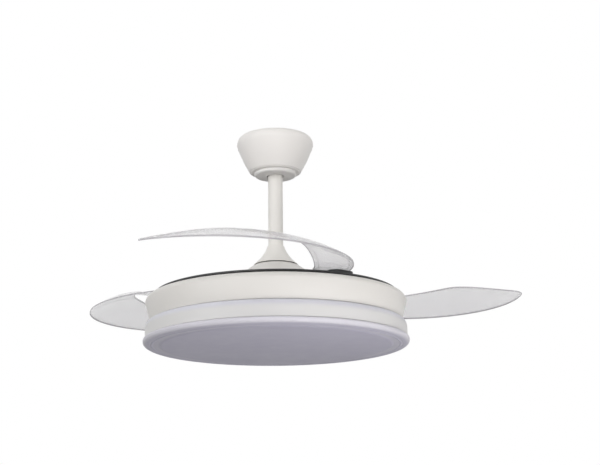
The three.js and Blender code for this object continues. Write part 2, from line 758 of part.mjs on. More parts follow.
// The blade as a sheet of even thickness with a hub boss round its pivot.
function blade() {
  const along = 20;
  const acrossSteps = 4;
  const columns = acrossSteps + 1;
  const layer = (along + 1) * columns;
  const points = [];
  for (const lift of [0, bladeThickness]) {
    for (let i = 0; i <= along; i += 1) {
      for (let j = 0; j < columns; j += 1) {
        const [x, y, z] = bladePoint(i / along, j / acrossSteps);
        points.push(x, y, bladeSeat + z + lift);
      }
    }
  }
  const faces = [];
  const quad = (a, b, c, d) => faces.push(a, b, c, a, c, d);
  for (let i = 0; i < along; i += 1) {
    for (let j = 0; j < acrossSteps; j += 1) {
      const corner = i * columns + j;
      quad(corner, corner + 1, corner + columns + 1, corner + columns);
      quad(layer + corner, layer + corner + columns, layer + corner + columns + 1, layer + corner + 1);
    }
  }
  const rim = [];
  for (let j = 0; j < acrossSteps; j += 1) rim.push(j);
  for (let i = 0; i < along; i += 1) rim.push(i * columns + acrossSteps);
  for (let j = acrossSteps; j > 0; j -= 1) rim.push(along * columns + j);
  for (let i = along; i > 0; i -= 1) rim.push(i * columns);
  rim.forEach((corner, k) => {
    const next = rim[(k + 1) % rim.length];
    quad(corner, layer + corner, layer + next, next);
  });
  const sheet = new THREE.BufferGeometry();
  sheet.setAttribute('position', new THREE.Float32BufferAttribute(points, 3));
  sheet.setIndex(faces);
  const boss = disc(bladeHubRadius, bladeSeat, bladeSeat + bladeHubHeight, coarse);
  const hole = disc(bushRadius + gap, bladeSeat - gap, bladeSeat + 2 * bladeHubHeight);
  return cut(join(solid(sheet), boss), hole);
}

// ---- Drum -----------------------------------------------------------------------------------
function upperHousing() {
  const side = (inset) => [
    [housingBottomRadius - inset, seam],
    ...arc(
      housingTopRadius - housingRoundOver, housingTop - housingRoundOver,
      housingRoundOver - inset, housingRoundOver - inset, 0, 90, 3,
    ),
  ];
  const inside = side(housingWall).reverse();
  const shell = turned([
    ...side(0), [housingOpening, housingTop], [housingOpening, housingTop - housingWall], ...inside,
  ], fine);
  const posts = screwPosts(housingScrewCircle, seam, housingWall * 3);
  return cut(
    join(shell, ...posts),
    ...screwHoles(housingScrewCircle, housingScrewAngles, seam - gap, seam + housingWall * 2),
  );
}

// Three screw posts that grow inward from the housing's wall.
function screwPosts(circle, bottom, height) {
  const reach = housingBottomRadius - circle;
  const width = 3 * screwHeadRadius;
  const middle = circle + reach / 2 - width / 4;
  return housingScrewAngles.map((angle) => spun(
    box(reach + width / 2, width, height, middle, 0, bottom + height / 2), angle,
  ).intersect(disc(housingBottomRadius - housingWall / 2, bottom, bottom + height, fine)));
}

const chassisRadius = housingBottomRadius - housingWall - gap;
const housingScrewAngles = around(screwCount, housingScrewAngle);
const panScrewAngles = around(screwCount, panScrewAngle);

function chassisPlate() {
  return cut(
    disc(chassisRadius, chassisBottom, chassisTop, fine),
    disc(shaftRadius + gap, chassisBottom - gap, chassisTop + gap, medium),
    ...screwHoles(housingScrewCircle, housingScrewAngles, chassisBottom - gap, chassisTop + gap),
    ...screwHoles(panScrewCircle, panScrewAngles, chassisBottom - gap, chassisTop + gap),
  );
}

const shaftNut = () => cut(
  disc(nutRadius, shaftFoot + gap, chassisBottom - gap, 6),
  disc(shaftRadius + gap, shaftFoot, chassisBottom, medium),
);

const ringTop = seam - seamGap;
const ringFlangeTop = chassisBottom - gap;

// Lower white ring: a rounded shoulder under the seam, an upright band, and an inner flange that
// is screwed under the chassis. Three short lips at its foot hold the diffuser's tabs.
function lowerRing() {
  const shoulderRise = ringRadius - housingBottomRadius;
  const outside = [
    [ringRadius, ringBottom],
    ...arc(ringRadius - shoulderRise, ringTop - ringShoulder, shoulderRise, ringShoulder, 0, 90, 3),
  ];
  const flangeInner = housingScrewCircle - 3 * screwHeadRadius;
  const innerRadius = ringRadius - housingWall;
  return cut(
    join(
      turned([
        ...outside, [chassisRadius + gap, ringTop], [chassisRadius + gap, ringFlangeTop],
        [flangeInner, ringFlangeTop], [flangeInner, ringFlangeTop - housingWall],
        [chassisRadius, ringFlangeTop - housingWall], [innerRadius, ringTop - ringShoulder],
        [innerRadius, ringBottom],
      ], fine),
      ...around(tabCount).map((angle) => arcBlock(
        innerRadius - lipReach, innerRadius + gap, ringBottom, ringBottom + housingWall, lipWidth, angle,
      )),
    ),
    ...screwHoles(
      housingScrewCircle, housingScrewAngles, ringFlangeTop - 2 * housingWall, ringFlangeTop + gap,
    ),
  );
}

// A block bent round the axis, degrees wide.
function arcBlock(inner, outer, bottom, top, degrees, middle) {
  const half = THREE.MathUtils.degToRad(degrees / 2);
  const outline = new THREE.Shape()
    .absarc(0, 0, outer, -half, half, false)
    .absarc(0, 0, inner, half, -half, true)
    .closePath();
  return spun(solid(new THREE.ExtrudeGeometry(outline, {
    depth: top - bottom, bevelEnabled: false, curveSegments: 4,
  })).translate([0, 0, bottom]), middle);
}

function ledPan() {
  const flangeInner = housingScrewCircle - 3 * screwHeadRadius;
  const rimRadius = flangeInner - gap;
  const pan = turned([
    [0, panTop - panThickness], [rimRadius, panTop - panThickness], [rimRadius, chassisBottom - gap],
    [rimRadius - panThickness, chassisBottom - gap], [rimRadius - panThickness, panTop], [0, panTop],
  ], fine);
  const post = disc(screwHeadRadius, panTop - panThickness, chassisBottom - gap, 12);
  const posts = panScrewAngles.map((angle) => spun(post.translate([panScrewCircle, 0, 0]), angle));
  return cut(
    join(pan, ...posts),
    ...screwHoles(panScrewCircle, panScrewAngles, panTop - panDrop, chassisBottom),
    disc(nutRadius + gap, panTop - panDrop, chassisBottom, medium),
  );
}

// The lamp's board with its rings of small light sources on the underside.
function ledBoard() {
  const board = tube(2 * shaftRadius, ledBoardRadius, boardTop - ledBoardThickness, boardTop, fine);
  const chipMiddle = boardTop - ledBoardThickness - ledHeight / 2 + gap / 2;
  const rows = Array.from(
    { length: ledRowCount }, (_, i) => ledBoardRadius - ledRowInset - i * ledRowSpacing,
  );
  const chips = rows.flatMap((radius) => {
    const count = Math.round((2 * Math.PI * radius) / ledPitch);
    return around(count).map((angle) => spun(
      box(ledSize, ledSize, ledHeight + gap, radius, 0, chipMiddle), angle,
    ));
  });
  return join(board, ...chips);
}

const ledDriver = () => {
  const [x, y, z] = driverSize;
  return box(x, y, z, driverOffset, 0, chassisTop + gap + z / 2);
};

const terminalBlock = () => {
  const [x, y, z] = terminalSize;
  return box(x, y, z, terminalOffset, 0, chassisTop + gap + z / 2);
};

// Opal cover: a rounded bowl edge with a bead, a groove and a large flat tray, and an upright
// collar inside the ring with three tabs that turn over the ring's lips.
function diffuser() {
  const widest = lampBottom + diffuserDepth * diffuserWidestShare;
  const bead = diffuserRadius - diffuserBeadInset;
  const trayRadius = diffuserRadius - diffuserTrayInset;
  const rimTop = ringBottom - gap;
  const seatRadius = ringRadius - gap;
  const collarOuter = ringRadius - housingWall - lipReach - collarGap;
  const collarInner = collarOuter - diffuserWall;
  const tabBottom = ringBottom + housingWall + gap;
  const tray = lampBottom - diffuserTrayStep;
  const bowl = turned([
    [seatRadius, rimTop], [diffuserRadius - diffuserTopEdge, rimTop - diffuserTopRamp],
    [diffuserRadius, widest],
    ...arc(
      diffuserRadius - diffuserRound, widest, diffuserRound, widest - lampBottom,
      ...diffuserRoundDegrees, 3,
    ),
    [bead + diffuserBeadHalf, lampBottom], [bead, lampBottom - diffuserBeadDrop],
    [bead - diffuserBeadHalf, lampBottom],
    [trayRadius + 2 * diffuserBeadHalf, lampBottom + diffuserGroove],
    [trayRadius, tray + diffuserTrayLip], [trayRadius - diffuserTrayRamp, tray], [0, tray],
    [0, tray + diffuserWall], [collarInner, tray + diffuserWall + diffuserTrayStep],
    [collarInner, tabBottom + diffuserWall], [collarOuter, tabBottom + diffuserWall],
    [collarOuter, rimTop],
  ], fine);
  const tabs = around(tabCount).map((angle) => arcBlock(
    collarInner + gap, collarOuter + lipReach - gap, tabBottom, tabBottom + diffuserWall, tabWidth, angle,
  ));
  return join(bowl, ...tabs);
}

// The lamp's lead runs down beside the cross pins, through the rod and the hollow shaft.
const leadCable = () => disc(leadRadius, rodEnd + shaftFoot + gap, -rodTopDrop, coarse)
  .translate([couplingPinRadius + gap + leadRadius, 0, 0]);

// ---- Assembly ---------------------------------------------------------------------------------
const group = new THREE.Group();
group.add(
  mesh('hanger_bracket', hangerBracket(), zinc),
  mesh('canopy', canopy(), whitePaint),
  mesh('canopy_ring', canopyRing(), whitePlastic),
  mesh('canopy_screw_left', canopyScrew(-1), steel),
  mesh('canopy_screw_right', canopyScrew(1), steel),
  mesh('receiver_box', receiverBox(), whitePlastic),
  mesh('hanger_ball', hangerBall(), blackPlastic),
  mesh('hanger_ball_pin', ballPin(), steel),
  mesh('down_rod', downRod(), whitePaint),
  mesh('lead_cable', leadCable(), cableGrey),
);

// Everything below the rod's end.
const head = new THREE.Group();
head.position.z = rodEnd;
group.add(head);
head.add(
  mesh('motor_yoke', yoke(), zinc),
  mesh('yoke_set_screw', yokeSetScrew(), steel),
  mesh('clevis_pin', clevisPin(), steel),
  mesh('clevis_pin_clip', pinClip(), steel),
  mesh('coupling_bell', couplingBell(), whitePaint),
  mesh('motor_shaft', motorShaft(), steel),
  mesh('upper_bearing', upperBearing(), steel),
  mesh('lower_bearing', lowerBearing(), steel),
  mesh('rotor_top_cover', rotorTopCover(), castAluminium),
  mesh('rotor_bottom_cover', rotorBottomCover(), castAluminium),
  mesh('magnet_ring', magnetRing(), magnetGrey),
  mesh('stator_core', statorCore(), laminations),
  mesh('stator_winding', statorWinding(), copper),
  mesh('rotor_disc', rotorDisc(), blackSteel),
  mesh('dome_cover', domeCover(), whitePaint),
  mesh('upper_housing', upperHousing(), whitePaint),
  mesh('chassis_plate', chassisPlate(), zinc),
  mesh('shaft_nut', shaftNut(), steel),
  mesh('lower_ring', lowerRing(), whitePaint),
  mesh('led_pan', ledPan(), boardWhite),
  mesh('led_board', ledBoard(), boardWhite),
  mesh('led_driver', ledDriver(), whitePlastic),
  mesh('terminal_block', terminalBlock(), nylon),
  mesh('diffuser', diffuser(), opal),
);

// Screws in threes round the axis.
function screwCircle(name, circle, angles, piece) {
  angles.forEach((angle, i) => {
    const holder = new THREE.Group();
    holder.rotation.z = THREE.MathUtils.degToRad(angle);
    const one = mesh(`${name}_${i + 1}`, piece, steel);
    one.position.x = circle;
    holder.add(one);
    head.add(holder);
  });
}
screwCircle('dome_screw', domeScrewCircle, domeScrewAngles,
  screw(domeFoot + domeWall + gap, domeWall + discThickness));
screwCircle('housing_screw', housingScrewCircle, housingScrewAngles,
  screw(ringFlangeTop - housingWall - gap, 3 * housingWall + chassisThickness, true));
screwCircle('pan_screw', panScrewCircle, panScrewAngles,
  screw(panTop - panThickness - gap, panThickness + panDrop, true));

// Blades with what holds them, each set in its own frame at the pivot.
pivots.forEach(({ angle, x, y }, i) => {
  const station = new THREE.Group();
  station.position.set(x, y, 0);
  station.rotation.z = THREE.MathUtils.degToRad(angle);
  const leaning = new THREE.Group();
  leaning.position.z = discMiddle;
  leaning.rotation.y = THREE.MathUtils.degToRad(pivotLean);
  const swung = new THREE.Group();
  swung.position.z = -discMiddle;
  swung.rotation.z = THREE.MathUtils.degToRad(bladeOpening);
  swung.add(
    mesh(`blade_${i + 1}`, blade(), clearBlade),
    mesh(`pivot_bush_${i + 1}`, pivotBush(), nylon),
  );
  const pin = mesh(`pivot_pin_${i + 1}`, pivotPin(), steel);
  pin.position.z = -discMiddle;
  leaning.add(swung, pin);
  station.add(
    leaning,
    mesh(`blade_bracket_${i + 1}`, bladeBracket(), blackPlastic),
    mesh(`pivot_spring_${i + 1}`, pivotSpring(), steel),
  );
  head.add(station);
});

export default group;
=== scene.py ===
# %% [markdown]
# A ceiling fan whose clear blades fold away over a round lamp. The CAD model is the fixed frame:
# it says where each piece is and how it moves. This lesson gives every visible piece a smooth
# shape and a real finish in that frame. Pieces are drawn in millimetres and made in metres, with
# the middle of the ceiling face at zero.

# %% Load the frame
import json
import math

import bmesh
import bpy
from mathutils import Matrix, Vector


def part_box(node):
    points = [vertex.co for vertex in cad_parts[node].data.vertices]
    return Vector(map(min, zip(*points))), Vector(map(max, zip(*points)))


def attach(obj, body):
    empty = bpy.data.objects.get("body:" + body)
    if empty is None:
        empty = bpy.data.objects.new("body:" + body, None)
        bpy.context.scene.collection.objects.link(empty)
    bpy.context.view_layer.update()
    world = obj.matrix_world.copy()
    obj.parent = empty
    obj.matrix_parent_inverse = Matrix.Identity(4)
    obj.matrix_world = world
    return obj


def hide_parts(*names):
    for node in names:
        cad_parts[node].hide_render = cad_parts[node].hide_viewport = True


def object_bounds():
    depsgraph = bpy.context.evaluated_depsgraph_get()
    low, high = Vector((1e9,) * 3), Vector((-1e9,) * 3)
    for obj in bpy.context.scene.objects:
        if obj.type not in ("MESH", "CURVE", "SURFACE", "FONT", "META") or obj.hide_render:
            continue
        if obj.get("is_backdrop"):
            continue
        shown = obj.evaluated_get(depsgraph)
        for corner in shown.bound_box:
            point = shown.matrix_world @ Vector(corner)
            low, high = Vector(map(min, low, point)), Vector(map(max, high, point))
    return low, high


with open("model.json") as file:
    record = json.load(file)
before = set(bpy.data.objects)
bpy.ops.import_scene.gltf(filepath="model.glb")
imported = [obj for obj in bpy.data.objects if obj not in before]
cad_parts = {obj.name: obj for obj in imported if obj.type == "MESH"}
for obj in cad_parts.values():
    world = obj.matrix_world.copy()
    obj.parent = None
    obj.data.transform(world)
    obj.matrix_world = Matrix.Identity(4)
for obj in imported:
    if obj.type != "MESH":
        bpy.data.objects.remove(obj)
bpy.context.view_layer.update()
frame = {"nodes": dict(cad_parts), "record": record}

MM = 0.001


# %% [markdown]
# The camera stands in front of the fan and below its lamp, and looks up at it. A long lens keeps
# the drum's ellipses shallow. Its place is written as a distance, a height and three small turns.

# %% Camera
CAMERA_DISTANCE = 2.40533
CAMERA_HEIGHT = -0.81085
CAMERA_YAW = 0.0194
CAMERA_PITCH = 0.2521
CAMERA_ROLL = -0.0118
FOCAL_PIXELS = 1293.76
PHOTO_WIDTH = 600
SENSOR_WIDTH = 36.0


def in_scene(name, data):
    """A new object that holds this data, linked to the scene."""
    made = bpy.data.objects.new(name, data)
    bpy.context.scene.collection.objects.link(made)
    return made


camera_data = bpy.data.cameras.new("camera")
camera_data.sensor_width = SENSOR_WIDTH
camera_data.lens = FOCAL_PIXELS / PHOTO_WIDTH * SENSOR_WIDTH
camera = in_scene("camera", camera_data)
camera.matrix_world = (
    Matrix.Translation((0, -CAMERA_DISTANCE, CAMERA_HEIGHT))
    @ Matrix.Rotation(-CAMERA_YAW, 4, "Z") @ Matrix.Rotation(CAMERA_PITCH, 4, "X")
    @ Matrix.Rotation(math.pi / 2, 4, "X") @ Matrix.Rotation(CAMERA_ROLL, 4, "Z")
)
bpy.context.scene.camera = camera
bpy.context.scene.view_settings.view_transform = "Standard"
print("lens", round(camera_data.lens, 2))


# %% [markdown]
# Materials, the world and two geometry trees are all built with one helper: it adds a node, and
# gives each of its inputs either a fixed value or the socket that feeds it. Colours are easier to
# judge as screen values, so a second one turns those into the linear numbers that a shader wants.

# %% Node and colour helpers
def add_node(tree, kind, inputs=None, **settings):
    """A new node with its settings, and with its inputs set or linked."""
    made = tree.nodes.new(kind)
    for name, value in settings.items():
        setattr(made, name, value)
    for name, value in (inputs or {}).items():
        if isinstance(value, bpy.types.NodeSocket):
            tree.links.new(value, made.inputs[name])
        else:
            made.inputs[name].default_value = value
    return made


def srgb(red, green, blue):
    """A screen colour, 0 to 255, as linear red, green, blue and alpha."""
    linear = []
    for value in (red, green, blue):
        share = value / 255
        linear.append(share / 12.92 if share <= 0.04045 else ((share + 0.055) / 1.055) ** 2.4)
    return (*linear, 1.0)


def grey(value):
    """An even grey, as linear red, green, blue and alpha."""
    return (value, value, value, 1)


# %% [markdown]
# The background has to look white without lighting the fan more than a plain room would. The
# Light Path node tells which rays only look: those of the camera, of reflections, and of what is
# seen through clear plastic.

# %% Rays that look
def looking_rays(tree):
    """A socket that is 1 for camera, glossy and transmission rays, and 0 for those that light."""
    path = add_node(tree, "ShaderNodeLightPath")
    total = path.outputs["Is Camera Ray"]
    for kind in ("Is Glossy Ray", "Is Transmission Ray"):
        total = add_node(tree, "ShaderNodeMath", {0: total, 1: path.outputs[kind]},
                         operation="ADD", use_clamp=True).outputs[0]
    return total


# %% [markdown]
# The world is plain white to the camera and in reflections, and a dimmer pale grey where it only
# lights the fan: brightest at the level of the eye, and darkest from below, as a room is.

# %% World
SKY_ABOVE, SKY_LEVEL, SKY_BELOW = 0.28, 0.60, 0.13

world = bpy.data.worlds.new("studio")
bpy.context.scene.world = world
world.use_nodes = True
tree = world.node_tree
tree.nodes.clear()
coordinates = add_node(tree, "ShaderNodeTexCoord")
split = add_node(tree, "ShaderNodeSeparateXYZ", {0: coordinates.outputs["Generated"]})
height = add_node(tree, "ShaderNodeMapRange", {
    "Value": split.outputs["Z"], "From Min": -1, "From Max": 1,
})
sky = add_node(tree, "ShaderNodeValToRGB", {0: height.outputs[0]})
ramp = sky.color_ramp.elements
ramp[0].color, ramp[1].color = grey(SKY_BELOW), grey(SKY_ABOVE)
ramp.new(0.5).color = grey(SKY_LEVEL)
dim = add_node(tree, "ShaderNodeBackground", {"Color": sky.outputs[0]})
white = add_node(tree, "ShaderNodeBackground", {"Color": grey(1)})
choose = add_node(tree, "ShaderNodeMixShader", {
    0: looking_rays(tree), 1: dim.outputs[0], 2: white.outputs[0],
})
add_node(tree, "ShaderNodeOutputWorld", {0: choose.outputs[0]})
print("world: white to the eye,", SKY_LEVEL, "as light")


# %% [markdown]
# One soft key stands far in front and below the lamp, so that it reaches the underside, and a
# small low lamp close by makes that underside fade toward the back. A high one lights the canopy
# and the rod. Two broad fills keep the drum's sides pale, as in a light tent.

# %% Lamps
AIM = Vector((0, 0, -0.3))
WARM, COOL, ROSY = (1.0, 0.99, 0.98), (0.99, 0.99, 1.0), (1.0, 0.985, 0.99)

# Each lamp's place and width in metres, its power in watts and its colour.
LAMPS = {
    "key": ((0.5, -5.0, -1.1), 3.0, 58, WARM),
    "low": ((0.4, -0.55, -0.92), 0.5, 2.7, ROSY),
    "high": ((-0.9, -1.9, 0.6), 0.8, 7.0, WARM),
    "fill_left": ((-2.4, -1.8, 0.0), 1.8, 21, COOL),
    "fill_right": ((2.6, -1.2, 0.1), 1.8, 11, WARM),
}
for name, (place, width, power, colour) in LAMPS.items():
    light_data = bpy.data.lights.new(name, "AREA")
    light_data.size, light_data.energy, light_data.color = width, power, colour
    light = in_scene(name, light_data)
    light.location = place
    light.rotation_euler = (AIM - Vector(place)).to_track_quat("-Z", "Y").to_euler()
print("lamps:", *LAMPS)


# %% [markdown]
# The floor lies a room's height below the ceiling. It gives back only part of its light, so that
# the lamp's underside stays in shade while the canopy's cone still gets some light from below. To
# the eye it is paler: rays that look also meet an even glow, which leaves the fan's shadow on it.
# From below it is not seen.

# %% Floor
ROOM_HEIGHT, FLOOR_HALF = 2.6, 40.0
FLOOR_GIVES, FLOOR_GLOW, FLOOR_GLOW_SHARE = srgb(156, 156, 157), 0.92, 0.7

floor_mesh = bpy.data.meshes.new("floor")
corners = [(-1, -1), (1, -1), (1, 1), (-1, 1)]
floor_mesh.from_pydata(
    [(x * FLOOR_HALF, y * FLOOR_HALF, -ROOM_HEIGHT) for x, y in corners], [], [(0, 1, 2, 3)]
)
floor = in_scene("floor", floor_mesh)
floor_finish = bpy.data.materials.new("pale_floor")
floor_finish.use_nodes = True
tree = floor_finish.node_tree
tree.nodes.clear()
matt = add_node(tree, "ShaderNodeBsdfDiffuse", {"Color": FLOOR_GIVES})
glow = add_node(tree, "ShaderNodeEmission", {"Color": grey(FLOOR_GLOW)})
share = add_node(tree, "ShaderNodeMath", {0: looking_rays(tree), 1: FLOOR_GLOW_SHARE},
                 operation="MULTIPLY")
upper_face = add_node(tree, "ShaderNodeMixShader", {
    0: share.outputs[0], 1: matt.outputs[0], 2: glow.outputs[0],
})
lower_face = add_node(tree, "ShaderNodeBsdfTransparent")
side_seen = add_node(tree, "ShaderNodeNewGeometry")
one_sided = add_node(tree, "ShaderNodeMixShader", {
    0: side_seen.outputs["Backfacing"], 1: upper_face.outputs[0], 2: lower_face.outputs[0],
})
add_node(tree, "ShaderNodeOutputMaterial", {0: one_sided.outputs[0]})
floor_mesh.materials.append(floor_finish)
floor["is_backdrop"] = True
print("floor", ROOM_HEIGHT, "m below the ceiling")


# %% [markdown]
# Every finish starts from the same shader. Three steps add what a plain colour lacks: a slow
# drift of colour, a grain that catches light, and patches that are a little duller. They read the
# object's own coordinates, in metres, so that a pattern has its real size.

# %% Finish helpers
FINISHES = {}
SHADER = "Principled BSDF"
EVEN = (1, 1, 1)
NOISE_LOW, NOISE_HIGH, FADE_DRIFT = 0.3, 0.7, 0.25


def pattern(tree, scale, detail=2.0, stretch=EVEN):
    """A noise on object coordinates, as a value from 0 to 1."""
    place = add_node(tree, "ShaderNodeTexCoord")
    mapping = add_node(tree, "ShaderNodeMapping", {
        "Vector": place.outputs["Object"], "Scale": stretch,
    })
    return add_node(tree, "ShaderNodeTexNoise", {
        "Vector": mapping.outputs[0], "Scale": scale, "Detail": detail,
    }).outputs["Fac"]


# Between two levels this carries the ring's painted reflection and the lamp cover's painted shade.
def by_height(tree, levels, scale):
    """A share that runs smoothly from 0 at the lower level to 1 at the upper one, with a drift."""
    place = add_node(tree, "ShaderNodeTexCoord")
    split = add_node(tree, "ShaderNodeSeparateXYZ", {0: place.outputs["Object"]})
    share = add_node(tree, "ShaderNodeMapRange", {
        "Value": split.outputs["Z"], "From Min": levels[0], "From Max": levels[1],
    }, interpolation_type="SMOOTHSTEP")
    return add_node(tree, "ShaderNodeMath", {
        0: pattern(tree, scale), 1: FADE_DRIFT, 2: share.outputs[0],
    }, operation="MULTIPLY_ADD", use_clamp=True).outputs[0]


def mottled(tree, other, scale, detail=2.0, levels=None):
    """Drifts from the base colour to another one, in patches or between two levels."""
    colour = tree.nodes[SHADER].inputs["Base Color"]
    share = by_height(tree, levels, scale) if levels else pattern(tree, scale, detail)
    mix = add_node(tree, "ShaderNodeMix", {
        "A": colour.default_value, "B": srgb(*other), "Factor": share,
    }, data_type="RGBA")
    tree.links.new(mix.outputs["Result"], colour)


def grained(tree, scale, height, detail=2.0, stretch=EVEN):
    """Bump of a real height, in metres."""
    bump = add_node(tree, "ShaderNodeBump", {
        "Distance": height, "Strength": 1.0, "Height": pattern(tree, scale, detail, stretch),
    })
    tree.links.new(bump.outputs[0], tree.nodes[SHADER].inputs["Normal"])


def dulled(tree, low, high, scale, detail=3.0, stretch=EVEN):
    """Roughness that wanders between two values."""
    spread = add_node(tree, "ShaderNodeMapRange", {
        "Value": pattern(tree, scale, detail, stretch),
        "From Min": NOISE_LOW, "From Max": NOISE_HIGH, "To Min": low, "To Max": high,
    })
    tree.links.new(spread.outputs[0], tree.nodes[SHADER].inputs["Roughness"])


def finish(name, colour, roughness, drift=None, grain=None, dull=None, **sockets):
    """A finish: even values stand on the shader itself, and patterns are linked to it."""
    made = bpy.data.materials.new(name)
    made.use_nodes = True
    inputs = made.node_tree.nodes[SHADER].inputs
    inputs["Base Color"].default_value = srgb(*colour)
    inputs["Roughness"].default_value = roughness
    for socket, value in sockets.items():
        inputs[socket.replace("_", " ")].default_value = value
    for step, given in ((mottled, drift), (grained, grain), (dulled, dull)):
        if given:
            step(made.node_tree, *given)
    FINISHES[name] = made


# %% [markdown]
# The drum, canopy, rod and bell are steel pressings with baked warm white paint. Sprayed paint
# dries with a faint orange peel about a millimetre across, which softens its reflections. The
# canopy's white is made lighter, as painted light, the rod and bell keep the plain white, and the
# drum's and dome's white is made a touch deeper, as painted shade.
#
# The ring under the seam is moulded, not pressed. Its white is a shade greyer, which is painted
# shade, and a faint violet on its shoulder, a painted reflection, fades out down the band.

# %% White paint and plastic
# Heights in metres over which the painted violet reflection comes in toward the ring's shoulder.
RING_PAINTED_REFLECTION_FADE = (-0.3830, -0.3720)


def paint(name, colour, deeper, roughness):
    """Sprayed paint, with its orange peel."""
    finish(name, colour, roughness, (deeper, 9.0), (900.0, 0.00002, 1.0),
           (roughness - 0.04, roughness + 0.06, 35.0), Specular_IOR_Level=0.4)


paint("white_paint", (245, 243, 238), (241, 238, 233), 0.38)
# The canopy's white is lighter than the plain white paint: painted light.
paint("canopy_paint_painted_light", (252, 249, 246), (250, 247, 243), 0.38)
# The drum's and dome's white is deeper than the plain white paint: painted shade.
paint("drum_paint_painted_shade", (233, 230, 226), (228, 226, 221), 0.40)
# The ring's greyer white is painted shade, and the violet toward its shoulder is a painted
# reflection.
finish("ring_painted_shade_and_reflection", (221, 220, 218), 0.42, ((218, 218, 226), 10.0, 2.0, RING_PAINTED_REFLECTION_FADE),
       (1400.0, 0.00002, 1.0), (0.38, 0.48, 40.0), Specular_IOR_Level=0.4)
finish("white_plastic", (251, 249, 247), 0.45, ((247, 245, 242), 14.0),
       (2600.0, 0.00002, 1.0), (0.42, 0.52, 60.0), Specular_IOR_Level=0.4)


# %% [markdown]
# The blades are clear acrylic, a little milky, with a faint smoke tint. Light that enters the
# sheet leaves again at the rim, so a thin line along the edge looks darker than the face: that
# line is painted shade, a darker finish on the rim's faces. Part of the clearness is alpha, which
# keeps the sheet even.
#
# The lamp's cover is opal acrylic: milky, faintly violet while the lamp is off, and smooth rather
# than glossy. A very fine frosting spreads its highlights. The flat tray below is coloured darker
# and more violet than the side: the darker colour is painted shade, the extra violet its own tint.

# %% Acrylics
ACRYLIC_BENDS = 1.49
# Heights in metres over which the cover goes from the darker tray, painted shade, to the paler
# side.
OPAL_PAINTED_SHADE_FADE = (-0.4130, -0.4090)

finish("clear_acrylic", (229, 227, 230), 0.03, dull=(0.01, 0.04, 25.0),
       Transmission_Weight=0.75, IOR=ACRYLIC_BENDS, Alpha=0.58)
# The rim's darker tint is painted shade along the sheet's edge.
finish("clear_acrylic_rim", (166, 163, 168), 0.18, dull=(0.10, 0.22, 90.0),
       Transmission_Weight=0.2, IOR=ACRYLIC_BENDS, Alpha=0.8)
# The darker base colour is the tray's painted shade; the paler one above the levels is the side.
finish("opal_acrylic", (189, 186, 206), 0.42, ((217, 215, 223), 6.0, 2.0, OPAL_PAINTED_SHADE_FADE),
       (1800.0, 0.00001, 1.0), (0.38, 0.48, 40.0), Specular_IOR_Level=0.35)


# %% [markdown]
# The spinning disc is steel with satin black paint, and the blade brackets are black moulded
# plastic with a fine spark texture. The metals inside are plainer trades: spangled zinc on the
# bracket and chassis, bright drawn steel on pins and bearings, cast aluminium on the motor's
# case, thin steel laminations, and enamelled copper wire laid round the stator.

# %% Blacks, metals and the rest
finish("black_steel", (26, 26, 27), 0.42, ((30, 30, 32), 300.0), (1200.0, 0.00001, 1.0),
       (0.40, 0.46, 220.0), Specular_IOR_Level=0.5)
finish("black_plastic", (30, 30, 31), 0.5, ((40, 40, 42), 120.0), (3000.0, 0.00004, 1.0),
       Specular_IOR_Level=0.45)
finish("zinc_steel", (186, 189, 193), 0.36, ((158, 162, 168), 220.0, 1.0),
       (500.0, 0.00003, 2.0), (0.28, 0.48, 160.0), Metallic=0.9)
finish("bright_steel", (202, 204, 206), 0.26, ((182, 184, 188), 90.0),
       (800.0, 0.00002, 2.0, (1, 1, 9)), (0.2, 0.34, 240.0, 3.0, (1, 1, 6)), Metallic=1.0)
finish("motor_casting", (170, 172, 174), 0.5, ((150, 152, 155), 60.0),
       (700.0, 0.00012, 3.0), Metallic=0.8)
finish("laminations", (98, 101, 106), 0.5, ((70, 72, 76), 300.0),
       (1.0, 0.0001, 0.0, (0.2, 0.2, 1800)), Metallic=0.7)
finish("copper_wire", (184, 104, 60), 0.32, ((150, 74, 40), 200.0),
       (1.0, 0.0002, 0.0, (600, 600, 900)), Metallic=0.9)
finish("magnet", (58, 60, 63), 0.55, ((74, 76, 80), 90.0), (900.0, 0.00005), Metallic=0.4)
finish("nylon", (226, 223, 212), 0.5, ((216, 212, 200), 150.0), (2000.0, 0.00002),
       Specular_IOR_Level=0.4)
finish("lamp_white", (242, 241, 236), 0.5, ((232, 231, 226), 40.0), (1500.0, 0.00002))
finish("lead_sheath", (140, 143, 148), 0.6, ((120, 123, 128), 300.0), (1500.0, 0.00003))
print(len(FINISHES), "finishes")


# %% [markdown]
# Most pieces are round, so one helper turns an outline about the fan's axis. Pressed and moulded
# parts have no knife edges: a second helper rounds each corner first, and keeps a short flat on
# either side so that the large faces stay flat when shaded smooth.

# %% Turned pieces
BIG_FACETS, MIDDLE_FACETS, ROD_FACETS = 192, 144, 96
ROUND_STEPS, ROUND_SHARE, FLAT_SHARE, EDGE = 5, 0.42, 0.15, 0.5
SHARP_ANGLE, STRAIGHT_ANGLE = math.radians(38), math.radians(170)
ON_AXIS, TOO_SHORT, SAME_POINT = 1e-6, 1e-4, 1e-6


